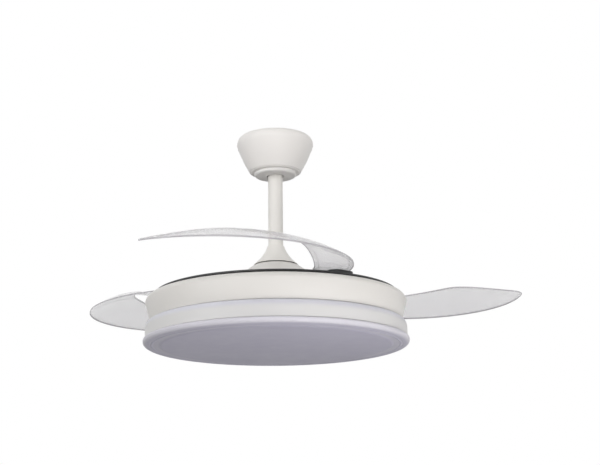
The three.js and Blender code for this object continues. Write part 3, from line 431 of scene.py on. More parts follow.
def rounded(outline, radius, closed=True):
    """The (radius, height) outline with its corners rounded."""
    made = []
    count = len(outline)
    for i, corner in enumerate(outline):
        here = Vector(corner)
        before = Vector(outline[i - 1]) - here
        after = Vector(outline[(i + 1) % count]) - here
        reach = min(radius, ROUND_SHARE * before.length, ROUND_SHARE * after.length)
        free_end = not closed and i in (0, count - 1)
        if (free_end or corner[0] < ON_AXIS or reach < TOO_SHORT
                or before.angle(after, math.pi) > STRAIGHT_ANGLE):
            made.append(tuple(here))
            continue
        before, after = before.normalized() * reach, after.normalized() * reach
        start, end = here + before, here + after
        made.append(tuple(start + before * FLAT_SHARE))
        for step in range(ROUND_STEPS + 1):
            t = step / ROUND_STEPS
            made.append(tuple(start * (1 - t) ** 2 + here * 2 * t * (1 - t) + end * t ** 2))
        made.append(tuple(end + after * FLAT_SHARE))
    return made


def shade(data):
    """Shades a mesh smooth, up to a sharp angle."""
    data.polygons.foreach_set("use_smooth", [True] * len(data.polygons))
    data.set_sharp_from_angle(angle=SHARP_ANGLE)


def tidy_mesh(name, data):
    """Merges doubles, turns faces outward and shades smooth."""
    shape = bmesh.new()
    shape.from_mesh(data)
    bmesh.ops.remove_doubles(shape, verts=shape.verts, dist=SAME_POINT)
    bmesh.ops.recalc_face_normals(shape, faces=shape.faces)
    shape.to_mesh(data)
    shape.free()
    shade(data)
    return in_scene(name, data)


def mesh_data(name, vertices, faces):
    """A mesh from points in mm."""
    data = bpy.data.meshes.new(name)
    data.from_pydata([tuple(c * MM for c in v) for v in vertices], [], faces)
    return data


def mesh_object(name, vertices, faces):
    """A tidy mesh object from points in mm."""
    return tidy_mesh(name, mesh_data(name, vertices, faces))


def turned(name, outline, facets=BIG_FACETS, closed=True):
    """Turns an outline about the fan's axis."""
    vertices, faces, rings = [], [], []
    for r, z in outline:
        if r < ON_AXIS:
            rings.append([len(vertices)] * facets)
            vertices.append((0, 0, z))
            continue
        rings.append(list(range(len(vertices), len(vertices) + facets)))
        for k in range(facets):
            angle = 2 * math.pi * k / facets
            vertices.append((r * math.cos(angle), r * math.sin(angle), z))
    count = len(rings)
    for i in range(count if closed else count - 1):
        low, high = rings[i], rings[(i + 1) % count]
        for k in range(facets):
            face = [low[k], low[(k + 1) % facets], high[(k + 1) % facets], high[k]]
            face = list(dict.fromkeys(face))
            if len(face) > 2:
                faces.append(face)
    return mesh_object(name, vertices, faces)


# %% [markdown]
# Outlines are lists of (radius, height). Short recipes draw the parts that come up often: an arc,
# a line with a slow bow, and the four corners of a flat ring, which can be turned into a tube.

# %% Outlines
def arc(centre, radii, start, stop, steps):
    """Points of an elliptical arc, in degrees."""
    points = []
    for i in range(steps + 1):
        angle = math.radians(start + (stop - start) * i / steps)
        r = centre[0] + radii[0] * math.cos(angle)
        points.append((r, centre[1] + radii[1] * math.sin(angle)))
    return points


def bowed(first, last, sag, steps):
    """A line between two points that bows toward the axis by sag."""
    points = []
    for i in range(steps + 1):
        t = i / steps
        r = first[0] + (last[0] - first[0]) * t - 4 * t * (1 - t) * sag
        points.append((r, first[1] + (last[1] - first[1]) * t))
    return points


def flat_ring(inner, outer, foot, top):
    """The corners of a flat ring, outward along its foot and back along its top."""
    return [(inner, foot), (outer, foot), (outer, top), (inner, top)]


def tube(name, corners, edge, facets, closed=True):
    """A turned flat ring, or a disc if it isn't closed, with soft edges."""
    return turned(name, rounded(flat_ring(*corners), edge, closed), facets, closed)


# %% [markdown]
# A finished piece gets its materials, the body that it rides on, and the nodes that it stands
# for. The canopy, the drum and the ring have shades of their own of the record's white paint:
# lighter on the canopy, which is painted light, and greyer on the drum and the ring, which is
# painted shade.


def dress(piece, body, replaced, *names):
    """Finishes a piece, sets it on its body and hides the nodes that it stands for."""
    which = [face.material_index for face in piece.data.polygons]
    piece.data.materials.clear()
    for name in names:
        piece.data.materials.append(FINISHES[name])
    piece.data.polygons.foreach_set("material_index", which)
    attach(piece, body)
    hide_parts(*replaced)
    print(piece.name, len(piece.data.polygons), "faces on", body)


def three(name):
    """The names of three like nodes."""
    return [f"{name}_{number}" for number in (1, 2, 3)]


# %% [markdown]
# Holes and slots are cut from a solid with a Boolean, and the result is kept as a plain mesh, so
# that no modifier is left to depend on its tool. The tools are round bars and blocks.

# %% Cutting helpers
ALONG_AXIS = {"X": Matrix.Rotation(math.pi / 2, 4, "Y"), "Y": Matrix.Rotation(math.pi / 2, 4, "X"),
              "Z": Matrix()}
SIDES = (-1, 1)
DRILL_FACETS, HOLE_FACETS, SEAT_FACETS, BORE_FACETS, POCKET_FACETS = 24, 32, 40, 48, 56


def settle(piece):
    """Applies a piece's modifiers, which leaves it a plain mesh."""
    graph = bpy.context.evaluated_depsgraph_get()
    data = bpy.data.meshes.new_from_object(piece.evaluated_get(graph))
    piece.modifiers.clear()
    piece.data = data
    return piece


def combine(base, tools, operation="DIFFERENCE"):
    """Cuts tools from base, or adds them, and removes them."""
    for tool in tools:
        step = base.modifiers.new("combine", "BOOLEAN")
        step.operation = operation
        step.solver = "EXACT"
        step.object = tool
        settle(base)
        bpy.data.objects.remove(tool)
    shade(base.data)


def shaped(name, build, matrix=Matrix()):
    """A mesh object made by a bmesh recipe, placed in mm."""
    shape = bmesh.new()
    build(shape)
    bmesh.ops.transform(shape, matrix=Matrix.Scale(MM, 4) @ matrix, verts=shape.verts)
    data = bpy.data.meshes.new(name)
    shape.to_mesh(data)
    shape.free()
    return tidy_mesh(name, data)


def bar(radius, length, axis, place, facets):
    """A round bar along an axis, to cut a hole with."""
    return shaped("bar", lambda shape: bmesh.ops.create_cone(
        shape, cap_ends=True, segments=facets, radius1=radius, radius2=radius, depth=length,
    ), Matrix.Translation(place) @ ALONG_AXIS[axis])


def soften(shape, edges, offset):
    """Rounds these edges."""
    bmesh.ops.bevel(shape, geom=edges, offset=offset, segments=3, profile=0.5, affect="EDGES")


def block(name, size, place, edge=0.0):
    """A box with rounded edges if edge is given."""
    def build(shape):
        bmesh.ops.create_cube(shape, size=1.0)
        bmesh.ops.scale(shape, vec=size, verts=shape.verts)
        if edge:
            soften(shape, shape.edges[:], edge)
    return shaped(name, build, Matrix.Translation(place))


# %% [markdown]
# The fan repeats itself in thirds, so tools are drawn on the +X side and turned about the axis.

# %% Round the axis
THIRDS, BLOCK_STEPS = (0, 120, 240), 12


def turn_by(degrees, axis="Z"):
    """A turn about an axis through zero."""
    return Matrix.Rotation(math.radians(degrees), 4, axis)


def spun(piece, degrees):
    """Turns a piece about the fan's axis."""
    piece.data.transform(turn_by(degrees))
    return piece


def drills(radius, circle, first, level, length):
    """Three upright round bars on a circle, to cut screw holes with."""
    return [spun(bar(radius, length, "Z", (circle, 0, level), DRILL_FACETS), first + turn)
            for turn in THIRDS]


def arc_blocks(inner, outer, foot, top, degrees):
    """Three blocks bent round the axis."""
    blocks = []
    for middle in THIRDS:
        vertices = []
        for i in range(BLOCK_STEPS + 1):
            angle = math.radians(middle - degrees / 2 + degrees * i / BLOCK_STEPS)
            for r, z in flat_ring(inner, outer, foot, top):
                vertices.append((r * math.cos(angle), r * math.sin(angle), z))
        faces = [(3, 2, 1, 0), tuple(4 * BLOCK_STEPS + k for k in range(4))]
        for i in range(BLOCK_STEPS):
            for k in range(4):
                a, b = 4 * i + k, 4 * i + (k + 1) % 4
                faces.append((a, b, b + 4, a + 4))
        blocks.append(mesh_object("arc_block", vertices, faces))
    return blocks


# %% [markdown]
# The canopy is one deep-drawn steel cup that hides the bracket and the wiring. From the ceiling
# it rounds over a shoulder and then narrows in a slightly swollen cone to a flat lip. A screw on
# either side gets a hole, and a shallow seat that its low head sinks into.

# %% Canopy
CANOPY_TOP, CANOPY_WIDEST, CANOPY_SHOULDER = 60.0, 74.0, 14.0
CANOPY_HEIGHT, CANOPY_FOOT, CANOPY_BULGE, CANOPY_WALL = 72.5, 48.5, 1.8, 1.6
NECK_RADIUS, NECK_HEIGHT, GAP, LIP_ROUND = 41.0, 6.5, 0.3, 3.0
SCREW_DROP, CANOPY_SCREW, CANOPY_SCREW_SEAT, CANOPY_SCREW_HEAD = 22.0, 2.2, 71.5, 0.9
CANOPY_HOLE_LENGTH, CANOPY_SEAT_LENGTH = 14.0, 6.0
SHOULDER_STEPS, CONE_STEPS, LIP_STEPS, LIP_START = 14, 24, 6, -22


def canopy_side(inset):
    """The cup's side, from the ceiling to its foot."""
    shoulder = arc(
        (CANOPY_TOP, -CANOPY_SHOULDER),
        (CANOPY_WIDEST - CANOPY_TOP - inset, CANOPY_SHOULDER - inset), 90, 0, SHOULDER_STEPS,
    )
    cone_top = (CANOPY_WIDEST - inset, -CANOPY_SHOULDER - 2 * CANOPY_WALL)
    cone = bowed(cone_top, (CANOPY_FOOT - inset, -CANOPY_HEIGHT), -CANOPY_BULGE, CONE_STEPS)
    return shoulder + cone


lip_curve = arc((CANOPY_FOOT - LIP_ROUND, -CANOPY_HEIGHT + LIP_ROUND), (LIP_ROUND, LIP_ROUND),
                LIP_START, -90, LIP_STEPS)
lip = [(NECK_RADIUS + GAP, -CANOPY_HEIGHT), (NECK_RADIUS + GAP, -CANOPY_HEIGHT + CANOPY_WALL)]
inside = canopy_side(CANOPY_WALL)[::-1]
inside[0] = (inside[0][0], -CANOPY_HEIGHT + CANOPY_WALL)
canopy = turned("canopy_cup", [*canopy_side(0)[:-1], *lip_curve, *lip, *inside])
for reach, radius, length in (
    (CANOPY_SCREW_SEAT, CANOPY_SCREW + GAP, CANOPY_HOLE_LENGTH),
    (CANOPY_SCREW_SEAT - GAP + CANOPY_SEAT_LENGTH / 2, 2 * CANOPY_SCREW + GAP, CANOPY_SEAT_LENGTH),
):
    combine(canopy, [
        bar(radius, length, "X", (side * reach, 0, -SCREW_DROP), SEAT_FACETS) for side in SIDES
    ])
# The canopy takes the lightened white paint, which is painted light.
dress(canopy, "ceiling_mount", ["canopy"], "canopy_paint_painted_light")


# %% [markdown]
# A moulded dish closes the canopy's foot. It is stepped in from the cup's lip, and the hole in
# its floor leaves the rod room to swing.

# %% Canopy ring
ROD_RADIUS, TILT_GAP, DISH_ROUND, DISH_EDGE, DISH_STEPS = 14.2, 2.0, 5.0, 0.4, 10
ring_top = -CANOPY_HEIGHT + CANOPY_WALL + GAP + CANOPY_WALL
ring_foot = -CANOPY_HEIGHT - NECK_HEIGHT
flange = (NECK_RADIUS + CANOPY_FOOT) / 2
hole = ROD_RADIUS + TILT_GAP
dish = (NECK_RADIUS - DISH_ROUND, ring_foot + DISH_ROUND)
dish_inner = DISH_ROUND - CANOPY_WALL
canopy_ring = turned("canopy_foot_ring", [
    (hole + DISH_EDGE, ring_foot), *arc(dish, (DISH_ROUND, DISH_ROUND), -90, 0, DISH_STEPS),
    (NECK_RADIUS, ring_top - CANOPY_WALL), (flange, ring_top - CANOPY_WALL), (flange, ring_top),
    (NECK_RADIUS - CANOPY_WALL, ring_top),
    *arc(dish, (dish_inner, dish_inner), 0, -90, DISH_STEPS),
    (hole + DISH_EDGE, ring_foot + CANOPY_WALL), (hole, ring_foot + CANOPY_WALL - DISH_EDGE),
    (hole, ring_foot + DISH_EDGE),
], MIDDLE_FACETS)
dress(canopy_ring, "ceiling_mount", ["canopy_ring"], "white_plastic")


# %% [markdown]
# The rod is steel tube with two cross holes for its pins, one in the ball and one in the yoke.
# The holes are cut as a maker drills them, right through.

# %% Down rod
ROD_WALL, ROD_TOP, ROD_LENGTH = 2.0, -37.0, 211.5
ROD_END = ROD_TOP - ROD_LENGTH
PIN_RADIUS, PIN_HOLE_LENGTH, BALL_CENTRE, SOCKET_DEPTH = 3.0, 60.0, -46.0, 17.0
rod = tube("down_rod_tube", (ROD_RADIUS - ROD_WALL, ROD_RADIUS, ROD_END, ROD_TOP), EDGE,
           ROD_FACETS)
combine(rod, [
    bar(PIN_RADIUS + GAP, PIN_HOLE_LENGTH, "Y", (0, 0, level), HOLE_FACETS)
    for level in (BALL_CENTRE, ROD_END + SOCKET_DEPTH / 2)
])
dress(rod, "hanging_drum", ["down_rod"], "white_paint")


# %% [markdown]
# The bell covers the coupling between the rod and the motor. It flares toward the dome and stops
# just above it, which leaves the thin dark line.

# %% Coupling bell
BELL_TOP_RADIUS, BELL_FOOT_RADIUS, BELL_HEIGHT = 16.0, 42.0, 36.5
BELL_DROP, BELL_WALL, BELL_FLARE, BELL_EDGE, BELL_STEPS, DOME_GAP = 6.5, 1.5, 4.0, 0.1, 20, 1.2
bell_foot = ROD_END - BELL_DROP
bell_top = bell_foot + BELL_HEIGHT
bore = ROD_RADIUS + GAP
outer = bowed((BELL_FOOT_RADIUS, bell_foot), (BELL_TOP_RADIUS, bell_top), BELL_FLARE, BELL_STEPS)
inner = bowed(
    (BELL_FOOT_RADIUS - BELL_WALL, bell_foot), (BELL_TOP_RADIUS, bell_top - BELL_WALL),
    BELL_FLARE, BELL_STEPS,
)
inner = [(max(r - BELL_WALL / 2, bore), z) for r, z in inner][::-1]
bell = turned("coupling_bell_cover", [
    *outer[:-1], (BELL_TOP_RADIUS - BELL_EDGE, bell_top - EDGE),
    (BELL_TOP_RADIUS - EDGE, bell_top), (bore, bell_top), (bore, bell_top - BELL_WALL),
    *inner[1:],
], MIDDLE_FACETS)
dress(bell, "hanging_drum", ["coupling_bell"], "white_paint")


# %% [markdown]
# The dome sits on the spinning disc and covers the motor's top. Its side runs out almost straight
# from under the bell to a flat flange with three screws.

# %% Dome
SCREW_RADIUS, DOME_SCREW_CIRCLE, DOME_SCREW_ANGLE, DOME_HOLE_LENGTH = 2.0, 133.0, 90, 8.0
DISC_DROP, DISC_THICKNESS, DOME_SEAM, DOME_FOOT_RADIUS = 65.6, 3.0, 41.5, 138.0
DOME_FLANGE, DOME_WALL, DOME_FULLNESS, DOME_EDGE, DOME_STEPS = 10.0, 2.0, 1.1, 0.6, 28
YOKE_RADIUS, YOKE_ROOM = 19.5, 4.0
disc_top = ROD_END - DISC_DROP
dome_top = bell_foot - DOME_GAP
dome_foot = disc_top + GAP
dome_hole = YOKE_RADIUS + YOKE_ROOM
shoulder_radius = DOME_FOOT_RADIUS - DOME_FLANGE


def dome_side(inset):
    """The dome's side, from its seam under the bell to its flange."""
    drop = dome_top - dome_foot - DOME_WALL
    points = []
    for i in range(DOME_STEPS + 1):
        t = i / DOME_STEPS
        r = DOME_SEAM + (shoulder_radius - DOME_SEAM) * t
        fall = 1 - (1 - t) ** DOME_FULLNESS
        points.append((r - inset * t, dome_top - drop * fall - inset))
    return points


dome = turned("motor_dome", [
    (dome_hole, dome_top), (DOME_SEAM - DOME_WALL, dome_top), *dome_side(0)[1:],
    (DOME_FOOT_RADIUS - DOME_EDGE, dome_foot + DOME_WALL),
    (DOME_FOOT_RADIUS, dome_foot + DOME_WALL - DOME_EDGE), (DOME_FOOT_RADIUS, dome_foot),
    (shoulder_radius - 2 * DOME_WALL, dome_foot),
    *dome_side(DOME_WALL)[:-1][::-1], (dome_hole, dome_top - DOME_WALL),
])
combine(dome, drills(
    SCREW_RADIUS + GAP, DOME_SCREW_CIRCLE, DOME_SCREW_ANGLE, dome_foot, DOME_HOLE_LENGTH,
))
# The dome takes the deepened white paint, which is painted shade.
dress(dome, "rotor", ["dome_cover"], "drum_paint_painted_shade")


# %% [markdown]
# The disc that carries the blades is a shallow steel pressing with a turned-down rim. Its black
# edge is the dark line along the top of the drum. It is drilled for the pins and the dome's screws.

# %% Spinning disc
PIVOT_ANGLES, PIVOT_RADIUS, PIVOT_PIN = (-58.0, 62.0, 182.0), 212.0, 4.0
DISC_RADIUS, DISC_LIP, DISC_ROUND, HUB_RADIUS, DRILL_LENGTH = 230.0, 4.0, 1.3, 27.6, 12.0
disc_foot = disc_top - DISC_THICKNESS
disc = turned("rotor_disc_plate", rounded([
    (HUB_RADIUS, disc_foot), (DISC_RADIUS - DISC_THICKNESS, disc_foot),
    (DISC_RADIUS - DISC_THICKNESS, disc_top - DISC_LIP), (DISC_RADIUS, disc_top - DISC_LIP),
    (DISC_RADIUS, disc_top), (HUB_RADIUS, disc_top),
], DISC_ROUND))
combine(disc, [
    *drills(SCREW_RADIUS + GAP, DOME_SCREW_CIRCLE, DOME_SCREW_ANGLE, disc_top, DRILL_LENGTH),
    *drills(PIVOT_PIN + GAP, PIVOT_RADIUS, PIVOT_ANGLES[0], disc_top, DRILL_LENGTH),
])
dress(disc, "rotor", ["rotor_disc"], "black_steel")


# %% [markdown]
# The drum's upper half is a spun shell: it narrows toward the seam, and rounds over at the top
# into a flat deck with a wide hole for the motor. Three short posts inside take its screws.

# %% Upper housing
HOUSING_TOP_RADIUS, HOUSING_TAPER, HOUSING_HEIGHT, ROUND_OVER = 246.0, 9.3, 46.8, 11.0
HOUSING_WALL, HOUSING_DROP, HOUSING_OPENING = 2.5, 6.6, 84.0
SCREW_CIRCLE, SCREW_ANGLE, SCREW_HOLE_LENGTH = 222.0, 30, 10.0
SCREW_POST_WIDTH, SCREW_POST_HEIGHT, POST_INSET, POST_LIFT = 12.0, 7.5, 1.1, 0.02
FOOT_EDGE, FOOT_TURN, FOOT_SWELL, ROUND_OVER_STEPS = 0.7, 0.2, 0.1, 14
housing_foot_radius = HOUSING_TOP_RADIUS - HOUSING_TAPER
housing_top = disc_top - HOUSING_DROP
seam = housing_top - HOUSING_HEIGHT


def round_over(inset):
    """The shell's rounded upper edge, from its side to its deck."""
    return arc(
        (HOUSING_TOP_RADIUS - ROUND_OVER, housing_top - ROUND_OVER),
        (ROUND_OVER - inset, ROUND_OVER - inset), 0, 90, ROUND_OVER_STEPS,
    )


housing = turned("drum_upper_shell", [
    (housing_foot_radius - FOOT_EDGE, seam), (housing_foot_radius - FOOT_TURN, seam + FOOT_TURN),
    (housing_foot_radius + FOOT_SWELL, seam + FOOT_EDGE), *round_over(0),
    (HOUSING_OPENING + EDGE, housing_top), (HOUSING_OPENING, housing_top - EDGE),
    (HOUSING_OPENING, housing_top - HOUSING_WALL), *round_over(HOUSING_WALL)[::-1],
    (housing_foot_radius - HOUSING_WALL, seam),
])
post_start, post_end = SCREW_CIRCLE - SCREW_POST_WIDTH / 2, housing_foot_radius - POST_INSET
post_size = (post_end - post_start, SCREW_POST_WIDTH, SCREW_POST_HEIGHT)
post_middle = ((post_start + post_end) / 2, 0, seam + POST_LIFT + SCREW_POST_HEIGHT / 2)
posts = [spun(block("post", post_size, post_middle), SCREW_ANGLE + turn) for turn in THIRDS]
combine(housing, posts, "UNION")
combine(housing, drills(SCREW_RADIUS + GAP, SCREW_CIRCLE, SCREW_ANGLE, seam, SCREW_HOLE_LENGTH))
# The drum's shell takes the deepened white paint, which is painted shade.
dress(housing, "hanging_drum", ["upper_housing"], "drum_paint_painted_shade")


# %% [markdown]
# Under the seam comes the lower ring: a soft shoulder swells out to an upright band. Its inner
# flange is drilled and screwed to the chassis, and three short lips at its foot hold the lamp's
# cover.

# %% Lower ring
RING_HEIGHT, RING_SHOULDER, SEAM_GAP, CHASSIS_THICKNESS = 31.6, 15.0, 0.8, 2.5
LIP_REACH, LIP_WIDTH, LIP_ROOT, HAIR, RING_TURN, RING_STEPS = 4.0, 26.0, 0.6, 0.01, 86, 16
ring_radius = HOUSING_TOP_RADIUS
ring_top_level = seam - SEAM_GAP
ring_foot_level = ring_top_level - RING_HEIGHT
shoulder_foot = ring_top_level - RING_SHOULDER
chassis_foot = seam - GAP - CHASSIS_THICKNESS
flange_top = chassis_foot - GAP
flange_foot = flange_top - HOUSING_WALL
flange_inner = SCREW_CIRCLE - SCREW_POST_WIDTH
wall_inner = ring_radius - HOUSING_WALL
swell = ring_radius - housing_foot_radius
chassis_radius = housing_foot_radius - HOUSING_WALL - GAP
lower_ring = turned("drum_lower_ring", [
    (ring_radius - EDGE, ring_foot_level), (ring_radius, ring_foot_level + EDGE),
    *arc((ring_radius - swell, shoulder_foot), (swell, RING_SHOULDER), 0, RING_TURN, RING_STEPS),
    (chassis_radius + GAP, ring_top_level), (chassis_radius + GAP, flange_top),
    (flange_inner, flange_top), (flange_inner, flange_foot), (chassis_radius, flange_foot),
    (wall_inner, shoulder_foot), (wall_inner, ring_foot_level),
])
combine(lower_ring, arc_blocks(
    wall_inner - LIP_REACH, wall_inner + LIP_ROOT, ring_foot_level + HAIR,
    ring_foot_level + HOUSING_WALL, LIP_WIDTH,
), "UNION")
combine(lower_ring, drills(
    SCREW_RADIUS + GAP, SCREW_CIRCLE, SCREW_ANGLE, flange_top, DRILL_LENGTH,
))
# The ring takes the greyer finish with the violet shoulder: painted shade and painted reflection.
dress(lower_ring, "hanging_drum", ["lower_ring"], "ring_painted_shade_and_reflection")


# %% [markdown]
# The lamp's cover bulges just past the ring, turns under in a round edge, and then steps through
# a bead and a groove to a broad flat tray. A collar with three tabs twists into the ring's lips.

# %% Lamp cover
COVER_OVERHANG, COVER_DEPTH, COVER_WALL, COVER_ROUND = 4.0, 12.0, 2.0, 9.0
BEAD_INSET, TRAY_INSET, TRAY_STEP, COLLAR_GAP, TAB_WIDTH = 17.0, 32.0, 1.2, 1.0, 24.0
COVER_WIDEST_SHARE, COVER_FACETS, TRAY_RINGS, PATH_STEPS = 0.6, 256, (150.0, 80.0), 6
ROUND_START, ROUND_STOP, COVER_ROUND_STEPS = -25, -82, 4
# Steps outward and upward: on the lip, over the bead, and down the step to the tray.
LIP_PATH = ((-1.2, -1.2), (-0.2, -3.0))
BEAD_PATH = ((5, 0.1), (3, 0.5), (0, -0.6), (-3, 0.5))
STEP_PATH = ((8, 0.6), (3, 0.5))
TRAY_PATH = ((0, 1.0), (-3, 0.15), (-8, 0))
cover_radius = ring_radius + COVER_OVERHANG
cover_foot = ring_foot_level - COVER_DEPTH
widest = cover_foot + COVER_DEPTH * COVER_WIDEST_SHARE
cover_rim = ring_foot_level - GAP
bead = cover_radius - BEAD_INSET
tray_edge = cover_radius - TRAY_INSET
tray = cover_foot - TRAY_STEP
tray_inside = tray + COVER_WALL
collar_outer = wall_inner - LIP_REACH - COLLAR_GAP
collar_inner = collar_outer - COVER_WALL
tab_foot = ring_foot_level + HOUSING_WALL + GAP
tab_top = tab_foot + COVER_WALL


def path_from(start, steps):
    """The points that lie these steps from a start."""
    return [(start[0] + r, start[1] + z) for r, z in steps]


def smooth_path(points):
    """A Catmull-Rom curve through (radius, height) points."""
    made = []
    for i in range(len(points) - 1):
        p = [Vector(points[min(max(i + k, 0), len(points) - 1)]) for k in (-1, 0, 1, 2)]
        for step in range(PATH_STEPS):
            t = step / PATH_STEPS
            made.append(tuple(0.5 * (
                2 * p[1] + (p[2] - p[0]) * t + (2 * p[0] - 5 * p[1] + 4 * p[2] - p[3]) * t ** 2
                + (3 * p[1] - p[0] - 3 * p[2] + p[3]) * t ** 3
            )))
    return [*made, points[-1]]


# From the seat under the ring, round the bulge, over the bead and the groove, down to the tray.
edge = smooth_path([
    (ring_radius - GAP, cover_rim), *path_from((cover_radius, cover_rim), LIP_PATH),
    (cover_radius, widest),
    *arc((cover_radius - COVER_ROUND, widest), (COVER_ROUND, widest - cover_foot),
         ROUND_START, ROUND_STOP, COVER_ROUND_STEPS),
    *path_from((bead, cover_foot), BEAD_PATH), *path_from((tray_edge, cover_foot), STEP_PATH),
    *path_from((tray_edge, tray), TRAY_PATH),
])
cover = turned("lamp_cover", [
    *edge, *((r, tray) for r in TRAY_RINGS), (0, tray), (0, tray_inside),
    (TRAY_RINGS[0], tray_inside), (collar_inner - 1, tray_inside + TRAY_STEP),
    (collar_inner, tray_inside + TRAY_STEP + 1), (collar_inner, tab_top),
    (collar_outer, tab_top), (collar_outer, cover_rim),
], COVER_FACETS)
combine(cover, arc_blocks(
    collar_inner + GAP, collar_outer + LIP_REACH - GAP, tab_foot, tab_top - HAIR, TAB_WIDTH,
), "UNION")
# The cover's tray is coloured darker than its side, which is painted shade.
dress(cover, "lamp_cover", ["diffuser"], "opal_acrylic")


# %% [markdown]
# A blade is a sheet of acrylic whose folded outer edge is an arc about the fan's own axis. It
# widens to a hump, narrows to a small tip, and is pitched so that it moves air. The outline, the
# pitch and the thickness all follow simple rules, so the surface is made point by point, first
# folded and about its own pivot, and then swung out to where it stands. The pin leans outward a
# little, so the tip rides over the next blade's root when folded and comes level as it opens.

# %% Blade surface
BLADE_OUTER, BLADE_THICKNESS, BLADE_OPENING = 229.0, 2.4, 70.6
BLADE_TAIL, BLADE_SPAN, ROOT_WIDTH, HUMP_WIDTH, TIP_WIDTH = 5.0, 135.5, 66.0, 96.0, 14.0
HUMP_SHARE, TIP_CURVE, PITCH, CAMBER = 0.66, 2.2, 0.343, 0.73
PITCH_SHARES, DROOP, DROOP_START = (0.06, 0.32), 1.6, 0.08
PIVOT_LEAN, BRACKET_HEIGHT = 1.8, 5.0
disc_middle = disc_top - DISC_THICKNESS / 2
blade_seat = disc_top + GAP + BRACKET_HEIGHT + GAP


def ease(limits, value):
    """A smooth step from 0 to 1 between two limits."""
    t = min(max((value - limits[0]) / (limits[1] - limits[0]), 0), 1)
    return t * t * (3 - 2 * t)


def blade_width(share):
    """The blade's width at this share of its length."""
    if share <= HUMP_SHARE:
        return ROOT_WIDTH + (HUMP_WIDTH - ROOT_WIDTH) * ease((0, HUMP_SHARE), share)
    past = (share - HUMP_SHARE) / (1 - HUMP_SHARE)
    return TIP_WIDTH + (HUMP_WIDTH - TIP_WIDTH) * (1 - past ** TIP_CURVE)


def blade_point(share, across):
    """A point of the sheet's lower face, folded, with the pivot at zero."""
    angle = math.radians(BLADE_TAIL - (BLADE_TAIL + BLADE_SPAN) * share)
    width = blade_width(share)
    radius = BLADE_OUTER - width * across
    pitch = PITCH * ease(PITCH_SHARES, share)
    rise = width * pitch * across * (1 + CAMBER * (1 - across))
    rise -= DROOP * max(0, (share - DROOP_START) / (1 - DROOP_START))
    x = radius * math.cos(angle) - PIVOT_RADIUS
    return Vector((x, radius * math.sin(angle), blade_seat + rise))


# %% [markdown]
# The corners are rounded in plan, the rim is rounded in section, and a low raised frame runs
# round the root panel, where a moulded blade is stiffened. The rim's faces take the rim's darker
# finish, a painted shade line.

# %% Blade sheet
ALONG, ACROSS, ROOT_STEPS, TIP_STEPS = 150, 34, 12, 6
ROOT_CORNER, TIP_CORNER, RIM_LINE = 20.0, 4.0, 1.5
FRAME_WIDTH, FRAME_SLOPE, FRAME_RISE, FRAME_START = 7.0, 1.6, 0.6, 2.0
FRAME_SHARES = (0.22, 0.26)
blade_length = math.radians(BLADE_TAIL + BLADE_SPAN) * BLADE_OUTER


def corner_inset(share):
    """How far a rounded corner draws the edges in at this share of the length."""
    for distance, radius in ((share * blade_length, ROOT_CORNER),
                             ((1 - share) * blade_length, TIP_CORNER)):
        if distance < radius:
            return radius - math.sqrt(radius ** 2 - (radius - distance) ** 2)
    return 0.0


def spread_shares():
    """Shares along the blade, closer together in its rounded ends."""
    root, tip = ROOT_CORNER / blade_length, TIP_CORNER / blade_length
    turn = math.pi / 2
    shares = [root * (1 - math.cos(turn * i / ROOT_STEPS)) for i in range(ROOT_STEPS)]
    shares += [root + (1 - tip - root) * i / ALONG for i in range(ALONG)]
    return shares + [
        1 - tip + tip * math.sin(turn * i / TIP_STEPS) for i in range(TIP_STEPS + 1)
    ]


def blade_sheet():
    """The folded blade as a closed sheet: its points, its faces and which of them are rim."""
    vertices, faces, rim, rows = [], [], set(), []
    shares = spread_shares()
    for share in shares:
        width = blade_width(share)
        inset = corner_inset(share)
        row = []
        for j in range(ACROSS + 1):
            t = 0.5 - 0.5 * math.cos(math.pi * j / ACROSS)
            t = 0.5 * t + 0.5 * j / ACROSS
            place = inset + (width - 2 * inset) * t
            low = blade_point(share, place / width)
            to_edge = min(place - inset, width - inset - place,
                          share * blade_length + FRAME_START)
            within = ease((FRAME_WIDTH, FRAME_WIDTH + FRAME_SLOPE), to_edge)
            sink = FRAME_RISE * (within * (1 - ease(FRAME_SHARES, share)))
            row.append((low + Vector((0, 0, sink)), low + Vector((0, 0, BLADE_THICKNESS - sink))))
        rows.append(row)
    count, columns = len(rows), ACROSS + 1
    for side in (0, 1):
        for row in rows:
            vertices += [tuple(pair[side]) for pair in row]
    layer = count * columns
    for i in range(count - 1):
        for j in range(ACROSS):
            if j in (0, ACROSS - 1) or shares[i] * blade_length < RIM_LINE:
                rim |= {len(faces), len(faces) + 1}
            a = i * columns + j
            faces.append((a, a + 1, a + columns + 1, a + columns))
            faces.append((layer + a, layer + a + columns, layer + a + columns + 1, layer + a + 1))
    loop = list(range(ACROSS))
    loop += [i * columns + ACROSS for i in range(count - 1)]
    loop += [(count - 1) * columns + j for j in range(ACROSS, 0, -1)]
    loop += [i * columns for i in range(count - 1, 0, -1)]
    for k, corner in enumerate(loop):
        following = loop[(k + 1) % len(loop)]
        rim.add(len(faces))
        faces.append((corner, layer + corner, layer + following, following))
    return vertices, faces, rim


# %% [markdown]
# Each finished blade is swung out about its pin, leaned with it and set at its station.

# %% Blades
HUB_HEIGHT, BUSH_WALL = 2.6, 1.8
RIM_ROUND, RIM_STEPS, RIM_ANGLE = 0.55, 3, 60


def leaning():
    """The pin's outward lean about the middle of the disc, with the pin at zero."""
    middle = Matrix.Translation((0, 0, disc_middle))
    return middle @ turn_by(PIVOT_LEAN, "Y") @ middle.inverted()


def in_metres(matrix):
    """The same placing for a mesh that is already in metres."""
    return Matrix.Scale(MM, 4) @ matrix @ Matrix.Scale(1 / MM, 4)


